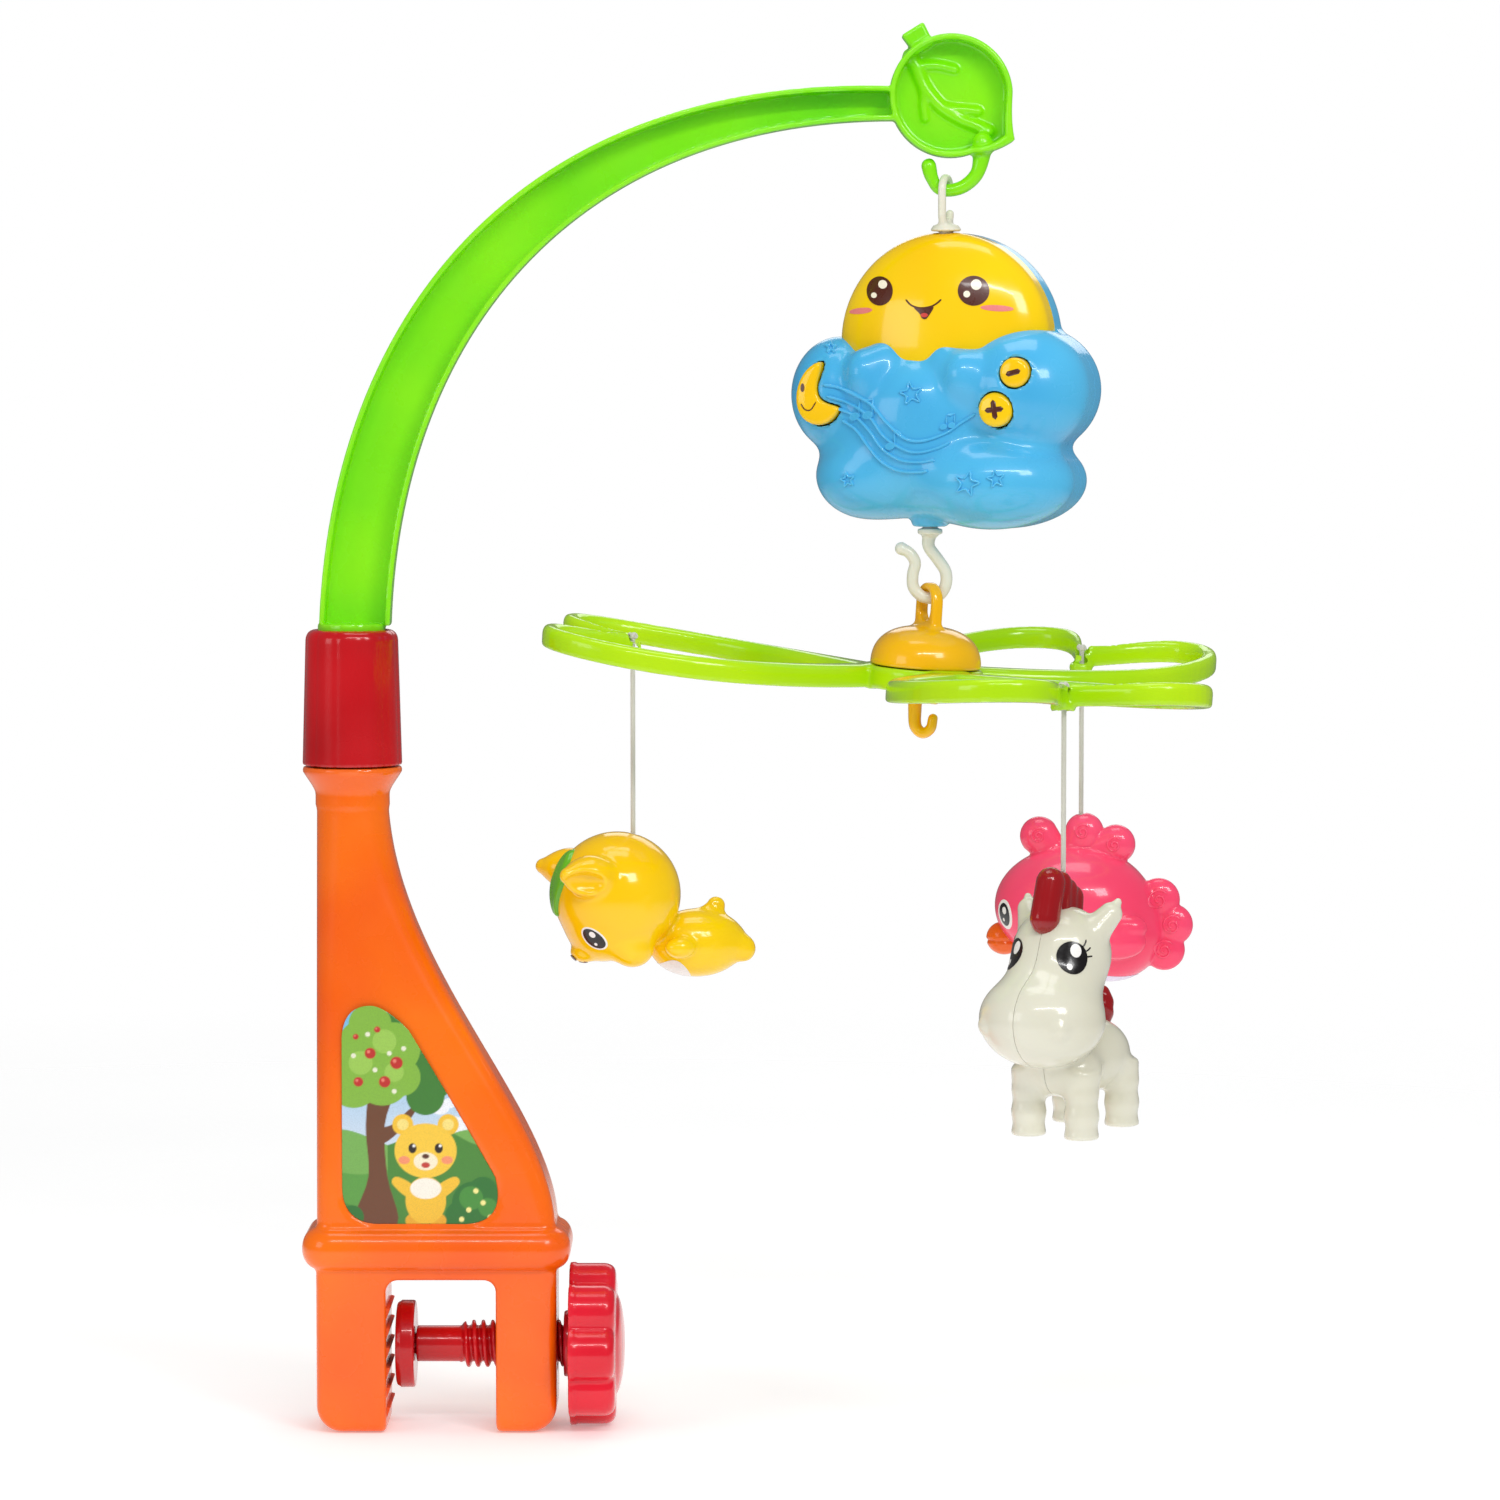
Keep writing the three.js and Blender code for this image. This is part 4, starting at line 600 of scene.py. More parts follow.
def label_film():
    """The printed label: its picture is in the mesh's point colours."""
    n = Nodes("label_film")
    picture = n.add("ShaderNodeVertexColor", layer_name="picture").outputs["Color"]
    screen = n.remap(n.noise(2600, 1), 0.4, 0.7, 0, 0.15)
    n.set(Base_Color=n.mix(screen, picture, (0.05, 0.08, 0.05, 1)))
    n.set(Roughness=n.remap(n.noise(200, 3), 0.3, 0.7, 0.3, 0.45))
    n.set(Normal=n.bump(n.noise(120, 2), 0.06, 0.0005), Coat_Weight=0.3, Coat_Roughness=0.15)
    return n.material


def metal(name, colour, rough=0.3):
    """Zinc plate: brushed streaks, darker in patches."""
    n = Nodes(name)
    colour = linear(*colour)
    streak = n.add("ShaderNodeMapping")
    streak.inputs["Scale"].default_value = (40, 900, 900)
    n.link(n.coordinates, streak.inputs["Vector"])
    brushed = n.noise(3, 3, vector=streak.outputs[0])
    dark = shaded(colour, 0.6)
    n.set(Base_Color=n.mix(n.remap(n.noise(250, 3), 0.4, 0.7, 0, 0.7), colour, dark), Metallic=1.0)
    n.set(Roughness=n.remap(brushed, 0.3, 0.7, rough - 0.1, rough + 0.15))
    n.set(Normal=n.bump(brushed, 0.15, 0.0001))
    return n.material


def fibre(name, colour):
    """Braided polyester: fine filaments and a soft sheen."""
    n = Nodes(name)
    colour = linear(*colour)
    wave = n.add("ShaderNodeTexWave", Scale=900, Distortion=3, Detail=2, bands_direction="DIAGONAL")
    n.link(n.coordinates, wave.inputs["Vector"])
    filament = wave.outputs["Fac"]
    shade = shaded(colour, 0.66)
    n.set(Base_Color=n.mix(n.remap(filament, 0.2, 0.8, 0.55, 0), colour, shade))
    n.set(Roughness=n.remap(n.noise(700, 3), 0.3, 0.7, 0.65, 0.95), Sheen_Weight=0.4)
    n.set(Normal=n.bump(filament, 0.5, 0.0003))
    return n.material


def board(name):
    """Circuit board lacquer over copper tracks."""
    n = Nodes(name)
    brick = n.add("ShaderNodeTexBrick", Scale=260)
    brick.inputs["Mortar Size"].default_value = 0.02
    brick.inputs["Color1"].default_value = linear(22, 92, 52)
    brick.inputs["Color2"].default_value = linear(30, 112, 62)
    brick.inputs["Mortar"].default_value = linear(120, 150, 60)
    n.link(n.coordinates, brick.inputs["Vector"])
    n.set(Base_Color=brick.outputs["Color"], Roughness=n.remap(n.noise(300, 3), 0.3, 0.7, 0.3, 0.5))
    n.set(Normal=n.bump(brick.outputs["Fac"], 0.2, 0.0002), Coat_Weight=0.5)
    return n.material


ORANGE = plastic("orange_shell", (255, 116, 4), (244, 92, 2), 0.26, glow=0.04)
# The jaw ridges are the shells' own orange plastic, rougher and without coat; their darker colour is painted
# shade, as if the teeth stood in shadow.
ORANGE_RIDGES_SHADED = plastic("orange_ridges_painted_shade", (236, 88, 4), (214, 70, 2), 0.65, coat=0.0)
RED = plastic("red_part", (212, 14, 26), (176, 6, 16), 0.22)
KNOB_RED = plastic("knob_red", (236, 26, 52), (210, 14, 36), 0.2)
LIME = plastic("lime_arm", (150, 242, 12), (122, 230, 8), 0.26, glow=0.06)
LEAF = plastic("green_carousel", (188, 232, 12), (160, 218, 6), 0.18, glow=0.04)
BLUE = plastic("blue_shell", (84, 190, 238), (62, 168, 224), 0.24)
YELLOW = plastic("yellow_part", (255, 214, 8), (252, 196, 2), 0.16)
HUB = plastic("hub_yellow", (255, 198, 8), (252, 178, 2), 0.2)
IVORY = plastic("ivory_part", (232, 230, 214), (214, 211, 190), 0.2, glow=0.05)
WHITE = plastic("hook_white", (240, 238, 224), (226, 222, 200), 0.3, glow=0.08)
PINK = plastic("pink_toy", (255, 84, 124), (250, 60, 100), 0.2, glow=0.04)
BEAK = plastic("orange_beak", (250, 108, 14), (232, 88, 8), 0.2)
LEAF_CAP = plastic("leaf_cap_green", (126, 200, 40), (96, 178, 30), 0.22)
MANE = plastic("mane_red", (176, 24, 30), (140, 12, 20), 0.14)
BLACK = plastic("black_plastic", (30, 30, 32), (18, 18, 20), 0.4, 0.05, 0.1)
INK = printed("ink_black", (14, 10, 12), 0.2)
BROWN = printed("ink_brown", (84, 30, 14), 0.3)
CREAM = printed("ink_cream", (255, 246, 222))
WHITE_INK = printed("ink_white", (246, 244, 240), 0.25)
BLUSH = printed("ink_blush", (240, 130, 128))
MOUTH_RED = printed("ink_red", (214, 60, 50))
LILAC = printed("ink_lilac", (232, 216, 240), 0.3)
STEEL = metal("steel", (205, 208, 212))
CORD = fibre("cord_white", (226, 224, 212))
BOARD = board("board_green")
FILM = label_film()


# ---- rail clamp and upright
band_lo, band_hi = box_mm("upright_front_shell")
collar_lo, collar_hi = box_mm("collar")
NECK_X = (collar_lo[0] + collar_hi[0]) / 2
COLLAR_BOTTOM, COLLAR_TOP = collar_lo[2], collar_hi[2]
BAND_OUT = 6  # how far the band stands out from the legs
LEFT, RIGHT, LEG_BOTTOM = band_lo[0] + BAND_OUT, band_hi[0] - BAND_OUT, band_lo[2]
DEPTH = 20  # half depth of the body
JAW = 23  # half of the space between the legs
NECK_R, NECK_TOP = 14.9, 205
BAND_Z, BAND_HIGH = 13, 8.4  # middle and half height of the band
PARTING = 0.15  # half of the gap between two moulded shells
SCREW_Z = joint_at("screw_turn")[2]
LABEL_FLOOR = -DEPTH + 1.6
UPRIGHT_SCREWS = [(NECK_X, 170), (-38, 34), (30, 34), (-38, -44)]
neck_edge = NECK_X + NECK_R
EDGE = bezier([(RIGHT - 0.3, 20), (RIGHT - 1, 70), (neck_edge, 130), (neck_edge, NECK_TOP)], 80)


def label_outline(grow):
    left, right, low, high = -41 - grow, 26 + grow, 24 - grow, 116 + grow
    return np.vstack([
        bend((left, low + 16), (left, low), (left + 16, low)),
        bend((right - 15, low), (right + 2, low + 1), (right - 3, low + 20)),
        bend((right - 3, low + 20), (4, 78), (left + 28, high - 10), 24),
        bend((left + 28, high - 10), (left + 18, high), (left + 12, high)),
        bend((left + 12, high), (left, high), (left, high - 16)),
    ])


def drilled(form, p, holes, radius, floor, edge):
    """The form with round holes bored into it from behind, down to a floor."""
    x, y, z = p.T
    for at_x, at_z in holes:
        form = trim(edge, form, -np.maximum(np.hypot(x - at_x, z - at_z) - radius, floor - y))
    return form


label_recess = outline_field(label_outline(0.4), 0.5)


def neck_and_body(x, y, z):
    rise = np.clip((z - 8) / (NECK_TOP - 8), 0, 1)
    left, right = NECK_X - NECK_R, np.interp(z, EDGE[:, 1], EDGE[:, 0])
    deep = DEPTH + (NECK_R - DEPTH) * rise
    corner = np.minimum(6 + (NECK_R - 6) * rise**1.5, np.minimum(deep, (right - left) / 2) - 0.01)
    body = round_rect(x - (left + right) / 2, y, (right - left) / 2, deep, corner)
    return trim(1, body, z - NECK_TOP - 2, 6 - z)


def legs_form(x, y, z):
    middle, wide, top = (LEFT + RIGHT) / 2, (RIGHT - LEFT) / 2, BAND_Z + 14
    outline = round_rect(x - middle, z - (LEG_BOTTOM + top) / 2, wide, (top - LEG_BOTTOM) / 2, 11)
    jaw = round_rect(x, z - (LEG_BOTTOM - 20) / 2, JAW, (20 - LEG_BOTTOM) / 2, 5)
    return trim(2.4, trim(5, outline, np.abs(y) - DEPTH), -jaw, z - BAND_Z)


def band_form(x, y, z):
    ring = np.maximum(round_rect(x - (LEFT + RIGHT) / 2, y, (RIGHT - LEFT) / 2, DEPTH, 7), -2)
    band = (np.hypot(np.maximum(ring, 0) / BAND_OUT, (z - BAND_Z) / BAND_HIGH) - 1) * BAND_OUT
    return np.where(ring < 0, np.maximum(np.abs(z - BAND_Z) - BAND_HIGH, ring - 2), band)


def upright_field(p):
    x, y, z = p.T
    r = np.hypot(x - NECK_X, y)
    flare = np.interp(z, [NECK_TOP - 1, COLLAR_BOTTOM - 2.5], [NECK_R, 20.8])
    collar_seat = trim(1.2, r - flare, z - COLLAR_BOTTOM + 0.4, NECK_TOP - 6 - z)
    spigot = np.maximum(r - 16, np.abs(z - 237) - 25)
    whole = blend(2.0, neck_and_body(x, y, z), band_form(x, y, z))
    whole = blend(1.2, whole, legs_form(x, y, z))
    whole = np.minimum(blend(2.5, whole, collar_seat), spigot)
    label = np.maximum(label_recess(x, z), np.abs(y - LABEL_FLOOR + 6) - 6)
    whole = drilled(trim(0.9, whole, -label), p, UPRIGHT_SCREWS, 3.6, 8, 0.6)
    screw_way = np.maximum(np.hypot(y, z - SCREW_Z) - 10.6, JAW - 5 - x)
    socket = np.maximum(r - 13, 222 - z)
    return np.maximum(trim(1.0, whole, -screw_way), -socket)


def jaw_ridges():
    """Saw teeth on the fixed jaw."""
    parts = []
    for k in range(6):
        top = -12 - 8.4 * k
        section = [(-JAW - 0.6, top), (-JAW + 1.25, top - 0.4), (-JAW + 1.3, top - 1), (-JAW - 0.6, top - 6.6)]
        rings = np.array([[(x, y, z) for x, z in section] for y in np.linspace(-16.5, 16.5, 12)])
        parts.append(rings_to_mesh(rings))
    return joined(*parts)


def make_upright():
    whole = surface(upright_field, (LEFT - 9, -29, LEG_BOTTOM - 3), (RIGHT + 9, 29, 265), 1.35)
    for side, facing in (("front", 1), ("rear", -1)):
        shell = half(whole, (0, -PARTING * facing, 0), (0, facing, 0))
        piece(f"upright_{side}", shell, ORANGE, "stand", WORLD, [f"upright_{side}_shell"], "orange_shell")
    # The ridges take the shell orange painted darker as shade.
    piece("jaw_ridges", jaw_ridges(), ORANGE_RIDGES_SHADED, "stand", slot="orange_shell", sharp=25)


# ---- printed label
TRUNK = [(-36, 24), (-30, 44), (-31, 66), (-28, 84), (-18, 84), (-23, 66), (-22, 44), (-18, 24)]
BOUGH = [(-24, 58), (-16, 64), (-10, 72), (-12, 73), (-20, 66), (-26, 64)]
PATH = [(-44, 22), (-18, 30), (-4, 38), (6, 44), (9, 44), (2, 34), (6, 20)]
APPLES = [(-29, 96, 2.3), (-18, 92, 2.6), (-34, 84, 2.0), (-23, 84, 2.4), (-35, 103, 1.2), (-26, 106, 1.3)]
BEAR_X, FUR, MUZZLE = -6, (246, 196, 50), (252, 240, 210)
# the colour of each group of spots, then each spot's x, z, half width and, where it differs, half height
CLOUDS = [(244, 246, 252), (6, 66, 5, 3.5), (11, 64, 6, 4.2), (16, 61, 5, 3.5), (0, 73, 4, 2.8)]
CLOUDS += [(4, 75, 3, 2.1)]
LEAVES = [
    ((62, 128, 46), (-9, 94, 12), (-4, 86, 10), (-14, 104, 12), (-6, 78, 8)),
    ((134, 186, 62), (-30, 98, 13), (-24, 86, 12), (-36, 84, 11), (-19, 98, 11), (-29, 108, 9), (-16, 86, 8)),
    ((158, 204, 84), (-33, 92, 5), (-23, 101, 5), (-19, 88, 4)),
]
BLOSSOM = ((240, 240, 214), (-30, 104, 1), (-21, 96, 1), (-36, 95, 1), (-27, 89, 1), (-15, 98, 1), (-19, 80, 1))
BUSHES = [
    ((44, 118, 46), (14, 33, 9), (20, 29, 9), (9, 27, 7), (18, 38, 6), (-37, 27, 5)),
    ((70, 146, 56), (13, 35, 5), (20, 31, 4)),
    ((250, 240, 150), (12, 30, 1.1), (18, 33, 1.1), (15, 38, 1.1), (21, 27, 1.1), (9, 26, 1.1)),
]
BEAR_BODY = [(FUR, (0, 34, 8.5, 10)), ((252, 246, 232), (0, 39, 6.5, 4.4))]
BEAR_HEAD = [((250, 204, 60), (0, 55, 13, 11.5)), (MUZZLE, (0, 50.5, 5, 3.8))]
BEAR_MOUTH = [((90, 40, 24), (0, 52.6, 1.5, 1.0)), ((200, 60, 50), (0, 48.9, 1.8, 1.2))]


def label_picture(x, z):
    """Colour of the label at each point: a garden with an apple tree, hills, a path and a small bear."""
    soft = 0.35
    sky = np.clip((z - 60) / 50, 0, 1)[:, None]
    colour = (1 - sky) * np.array(linear(206, 222, 240)[:3]) + sky * np.array(linear(120, 190, 232)[:3])

    def paint(distance, rgb):
        cover = np.clip(0.5 - distance / soft, 0, 1)[:, None]
        colour[:] = colour * (1 - cover) + np.array(linear(*rgb)[:3]) * cover

    def spots(group, middle=0):
        rgb, *rounds = group
        for cx, cz, rx, *rz in rounds:
            rz = rz[0] if rz else rx
            paint((np.hypot((x - middle - cx) / rx, (z - cz) / rz) - 1) * min(rx, rz), rgb)

    def shape(corners, rgb):
        paint(polygon_distance(x, z, spline(corners, 5, closed=True)[:-1]), rgb)

    spots(CLOUDS)
    paint(z - 60 - 4 * np.sin(x / 9), (120, 178, 84))
    paint(z - 50 - 5 * np.sin(x / 13 + 1), (92, 160, 66))
    shape(PATH, (222, 214, 150))
    paint(z - 31 - 4 * np.sin(x / 7 + 2) - 30 * (x > -22) - 60 * (x > 30), (74, 138, 52))
    shape(TRUNK, (112, 66, 40))
    shape(BOUGH, (112, 66, 40))
    for group in LEAVES:
        spots(group)
    for cx, cz, r in APPLES:
        spots(((196, 40, 34), (cx, cz, r)))
        spots(((240, 130, 110), (cx - r * 0.3, cz + r * 0.3, r * 0.3)))
    for group in [BLOSSOM] + BUSHES:
        spots(group)
    for side in (-1, 1):
        spots(((236, 176, 36), (side * 5, 25.5, 3.6, 3)), BEAR_X)
        shape([(BEAR_X + side * u, v) for u, v in ((5, 40), (12, 44), (14, 41), (7, 35))], FUR)
        spots((FUR, (side * 9.5, 66, 4.4)), BEAR_X)
        spots(((250, 226, 130), (side * 9.5, 66, 2.4)), BEAR_X)
    for group in BEAR_BODY + BEAR_HEAD:
        spots(group, BEAR_X)
    for side in (-1, 1):
        spots(((40, 22, 16), (side * 5.5, 56, 1.7, 2.1)), BEAR_X)
        spots(((255, 255, 255), (side * 5.5 + 0.6, 57, 0.6)), BEAR_X)
        spots(((248, 150, 110), (side * 9, 51, 2.4, 1.7)), BEAR_X)
    for group in BEAR_MOUTH:
        spots(group, BEAR_X)
    return colour


def rim_points(x, z, outline):
    """Points near an outline moved onto it."""
    for _ in range(4):
        distance = polygon_distance(x, z, outline)
        e = 0.05
        du = (polygon_distance(x + e, z, outline) - distance) / e
        dv = (polygon_distance(x, z + e, outline) - distance) / e
        x, z = x - distance * du, z - distance * dv
    return x, z


def make_label():
    """A sheet of small quads with a clean rim, and the picture as its point colours."""
    step, thick, clearance = 0.42, 0.25, 0.55
    outline = label_outline(0)
    (x0, z0), (x1, z1) = outline.min(0), outline.max(0)
    gx, gz = np.meshgrid(np.arange(x0, x1 + step, step), np.arange(z0, z1 + step, step), indexing="ij")
    inside = polygon_distance(gx.ravel(), gz.ravel(), outline).reshape(gx.shape)
    keep = inside < step * 0.75
    near = keep & (inside > -step * 0.5)
    gx[near], gz[near] = rim_points(gx[near], gz[near], outline)
    index = np.full(gx.shape, -1)
    index[keep] = np.arange(keep.sum())
    q = np.stack([index[:-1, :-1], index[1:, :-1], index[1:, 1:], index[:-1, 1:]], -1).reshape(-1, 4)
    q = q[(q >= 0).all(1)]
    flat = np.stack([gx[keep], np.full(keep.sum(), LABEL_FLOOR - clearance), gz[keep]], 1)
    obj = piece("label_print", joined((flat, q)), FILM, "stand", WORLD, ["picture_label"], "printed_label")
    colours = label_picture(flat[:, 0], flat[:, 2])
    layer = obj.data.color_attributes.new("picture", "FLOAT_COLOR", "POINT")
    layer.data.foreach_set("color", np.hstack([colours, np.ones((len(colours), 1))]).astype(np.float32).ravel())
    solidify = obj.modifiers.new("film", "SOLIDIFY")
    solidify.thickness, solidify.offset = thick * MM, -1


# ---- collar
def collar_field(p):
    x, y, z = p.T
    x = x - NECK_X
    angle, r = np.arctan2(y, x), np.hypot(x, y)
    radius = np.interp(z, [COLLAR_BOTTOM, COLLAR_TOP], [20.9, 19.3])
    flutes = 0.45 * np.abs(np.cos(6 * angle)) ** 0.6 - 0.45
    outer = trim(5, r - radius - flutes, z - COLLAR_TOP + 0.3)
    outer = trim(1, outer, COLLAR_BOTTOM + 0.2 - z)
    bore = np.where(z > COLLAR_TOP - 4, r - 15, r - 16.4)
    return trim(0.8, outer, -bore)


def make_collar():
    lo, hi = collar_lo - 2, collar_hi + 2
    piece("collar_body", surface(collar_field, lo, hi, 0.9), RED, "collar", WORLD, ["collar"], "red_part")


# ---- clamp screw
PAD_LEFT, PAD_RIGHT = box_mm("pressure_pad")[0][0], box_mm("pressure_pad")[1][0]
KNOB_LEFT, KNOB_RIGHT = 53.5, 73.5
SHAFT, CREST, PITCH, THREAD_START = 7.6, 10, 4, 7  # the two radii of the thread, its pitch and where it starts
LOBES, LOBE_AT, LOBE_R = 8, 22.6, 11.6


def pad_field(p):
    x, y, z = p.T
    r = np.hypot(y, z - SCREW_Z)
    rim = np.interp(x, [PAD_LEFT, PAD_LEFT + 1.6, PAD_LEFT + 1.9], [17.6, 17.9, 18.4])
    disc = trim(1.2, r - rim, PAD_LEFT + 0.1 - x, x - PAD_RIGHT + 0.1)
    seat = np.maximum(r - 4.6, PAD_RIGHT - 5 - x)
    dish = ellipsoid(p, (PAD_LEFT - 16, 0, SCREW_Z), (17, 13, 13))
    return trim(0.8, trim(0.5, disc, -seat), -dish)


def screw_field(p):
    x, y, z = p.T
    z = z - SCREW_Z
    r, angle = np.hypot(y, z), np.arctan2(z, y)
    wave = np.cos(2 * math.pi * x / PITCH - angle)
    thread = (SHAFT + CREST) / 2 + (CREST - SHAFT) / 2 * np.tanh(1.6 * wave) / math.tanh(1.6)
    grown = np.clip((x - THREAD_START) / 3, 0, 1) * np.clip((RIGHT + 4 - x) / 2, 0, 1)
    radius = SHAFT + (thread - SHAFT) * grown
    bar = trim(0.8, (r - radius) * 0.8, PAD_RIGHT + 0.35 - x, x - KNOB_LEFT - 10)
    tip = np.maximum(r - 4.2, np.abs(x - PAD_RIGHT + 1.2) - 3.4)
    return np.minimum(bar, tip)


def knob_field(p):
    x, y, z = p.T
    z = z - SCREW_Z
    r, angle = np.hypot(y, z), np.arctan2(z, y)
    sector = 2 * math.pi / LOBES
    folded = np.abs((angle + sector / 2) % sector - sector / 2)
    lobes = [np.hypot(r * np.cos(a) - LOBE_AT, r * np.sin(a)) - LOBE_R for a in (folded, sector - folded)]
    outline = blend(2.2, blend(2.2, *lobes), r - 26)
    step = np.where(x < KNOB_LEFT + 3, -0.45, 0)
    body = trim(5.5, outline + step, x - KNOB_RIGHT + 0.2)
    body = trim(1, body, KNOB_LEFT + 0.1 - x)
    dome = ellipsoid(p, (KNOB_RIGHT - 1, 0, SCREW_Z), (4.4, 21.5, 21.5))
    hub = trim(1, r - 14, RIGHT + 2.7 - x, x - KNOB_LEFT - 4)
    hollow = np.maximum(trim(2, r - 24, x - KNOB_RIGHT + 6), 13 - r)
    whole = np.minimum(trim(1, blend(1.0, body, dome), -hollow), hub)
    bore = np.maximum(r - SHAFT - 0.15, x - KNOB_LEFT - 11)
    return np.maximum(whole, -bore)


def make_clamp_screw():
    forms = [
        ("pad_disc", pad_field, PAD_LEFT - 2, PAD_RIGHT + 2, 22, 0.8, RED, "clamp_pad", "pressure_pad"),
        ("screw_bar", screw_field, PAD_RIGHT - 8, KNOB_LEFT + 12, 13, 0.55, RED, "clamp_screw", "clamp_screw"),
        ("knob_body", knob_field, RIGHT, KNOB_RIGHT + 6, 38, 1.0, KNOB_RED, "clamp_screw", "knob"),
    ]
    for name, field, left, right, reach, step, material, body, node in forms:
        made = surface(field, (left, -reach, SCREW_Z - reach), (right, reach, SCREW_Z + reach), step)
        piece(name, made, material, body, WORLD, [node], "red_part")


# ---- arm
ARM_DEPTH, ARM_WALL = 7, 2.2
LEAF_X, LEAF_Z, LEAF_R, BOWL_FLOOR = 213.4, 494.8, 25.6, ARM_DEPTH - 2.6
OUTER = bezier([(-50.5, 274.3), (-44.7, 414.1), (43.7, 504), (190.4, 498.6)], 60)
INNER = bezier([(-20.8, 274.3), (-16.4, 397.4), (58.7, 485.1), (191, 484.5)], 60)
EYE_AT = joint_at("eye_swing")


def leaf_outline(inset):
    """A disc drawn out to a point at the lower right."""
    r, centre = LEAF_R - inset, np.array([LEAF_X, LEAF_Z])
    tip = centre + [26.5 - inset * 1.6, -18.5 + inset * 0.9]
    angles = np.linspace(0.08, 1.62 * math.pi, 70)
    arc = centre + r * np.stack([np.cos(angles), np.sin(angles)], 1)
    rise = bend(tip, centre + [r - 1, -11], centre + [r, 2])
    fall = bend(arc[-1], centre + [r * 0.7, -r * 0.95], tip)
    return np.vstack([rise, arc, fall])


across = INNER - OUTER
across = across / np.linalg.norm(across, axis=1)[:, None] * ARM_WALL
bar_outline = outline_field(np.vstack([OUTER, INNER[::-1]]), 0.45, 6)
trough_outline = outline_field(np.vstack([OUTER + across, (INNER - across)[::-1]]), 0.45, 6)
leaf_rim, leaf_bowl = outline_field(leaf_outline(0), 0.4), outline_field(leaf_outline(2.5), 0.4)
HOOK_POINTS = [(15, 20), (14.6, 13), (12.6, 6.6), (7.6, 1.9), (1.6, 0.1), (-3.2, 1.1), (-6, 5.6), (-7.2, 10.2)]
ARM_HOOK = spline([(EYE_AT[0] + x, 0, EYE_AT[2] + z) for x, z in HOOK_POINTS], 6)
VEIN = spline([(-17, 17), (-14, 11), (-11, 4), (-4.5, -4), (4, -9.5), (10, -12), (16, -14.5)], 6)
RIBS = [
    [(-13, 12.4), (-6, 12.8), (1.5, 11.2)],
    [(-1, -5), (5, -5.6), (11.5, -6.2)],
    [(-11, 4), (-11.2, -3), (-10.6, -9)],
]


def raised_veins(arm, p):
    """The arm with a vein and side ribs on the floor of the leaf's bowl."""
    at = np.array([LEAF_X, BOWL_FLOOR, LEAF_Z])
    line = np.stack([VEIN[:, 0], np.zeros(len(VEIN)), VEIN[:, 1]], 1) + at
    arm = blend(1.6, arm, capsule(p, line, np.linspace(2.9, 2.3, len(VEIN))))
    for rib in RIBS:
        arm = blend(1.4, arm, capsule(p, spline([(u, 0, v) for u, v in rib], 4) + at, 1.9))
    return arm


def twig(p):
    start, end = np.array([LEAF_X - 11.5, 0, LEAF_Z + 20]), np.array([LEAF_X - 16.2, 0, LEAF_Z + 27.6])
    axis = (end - start) / np.linalg.norm(end - start)
    along = (p - start) @ axis
    off = p - start - along[:, None] * axis
    side = off @ np.array([axis[2], 0, -axis[0]])
    stub = round_rect(side, off[:, 1], 4.6 + 0.09 * along, 5.2, 1.6)
    return trim(1.4, stub, along - 9, -1 - along)


def arm_field(p):
    x, y, z = p.T
    bar = trim(1.2, bar_outline(x, z), np.abs(y) - ARM_DEPTH)
    trough = trim(1.0, trough_outline(x, z), y - ARM_DEPTH + ARM_WALL)
    rim = trim(1.6, leaf_rim(x, z), np.abs(y) - ARM_DEPTH - 0.4)
    bowl = trim(1.6, leaf_bowl(x, z), y - BOWL_FLOOR)
    arm = blend(1.0, trim(1.0, bar, -trough), rim)
    arm = blend(1.2, raised_veins(trim(1.6, arm, -bowl), p), twig(p))
    radii = np.interp(np.linspace(0, 1, len(ARM_HOOK)), [0, 0.25, 0.8, 0.93, 1], [4.2, 2.9, 2.5, 3.0, 3.1])
    arm = blend(2.5, arm, capsule(p, ARM_HOOK, radii))
    plug_in_collar = np.maximum(np.hypot(x - NECK_X, y) - 14.2, np.abs(z - COLLAR_TOP + 4) - 6)
    return np.minimum(arm, plug_in_collar)


def make_arm():
    lo, hi = box_mm("arm")
    lo[2] = COLLAR_TOP - 12
    made = surface(arm_field, lo - 2.5, hi + 2.5, 0.95)
    piece("arm_channel", made, LIME, "stand", stands_for=["arm"], slot="lime_arm")


# ---- hanging eye
SUN_Z, SUN_R, SUN_DEPTH = 4.8, 45.5, 19
FLANGE_Z = MUSIC.at[2] + SUN_Z + SUN_R - EYE_AT[2] + 1.2
LINK_R, LINK_LONG, LINK_WIRE = 5.3, 9.5, 1.65


def eye_field(p):
    x, y, z = p.T
    angles = np.linspace(0, 2 * math.pi, 41)
    drop = np.where(np.sin(angles) < 0, LINK_LONG, 0)
    link = np.stack([np.zeros(41), LINK_R * np.cos(angles), LINK_R * np.sin(angles) - drop], 1)
    loop = capsule(p, link, LINK_WIRE)
    r = np.hypot(x, y)
    flange = trim(1, r - np.interp(z, [FLANGE_Z, FLANGE_Z + 2], [6.3, 5]), np.abs(z - FLANGE_Z - 0.6) - 1.4)
    stem = np.maximum(r - 2.6, np.abs(z - FLANGE_Z + 2.5) - 6.5)
    return blend(1.6, blend(2, loop, flange), stem)


def make_eye():
    place = Place(EYE_AT, turned("z", BOX_YAW))
    made = surface(eye_field, (-9, -9, FLANGE_Z - 11), (9, 9, 9), 0.5)
    piece("eye_link", made, WHITE, "eye", place, ["hanging_eye"], "ivory_part")


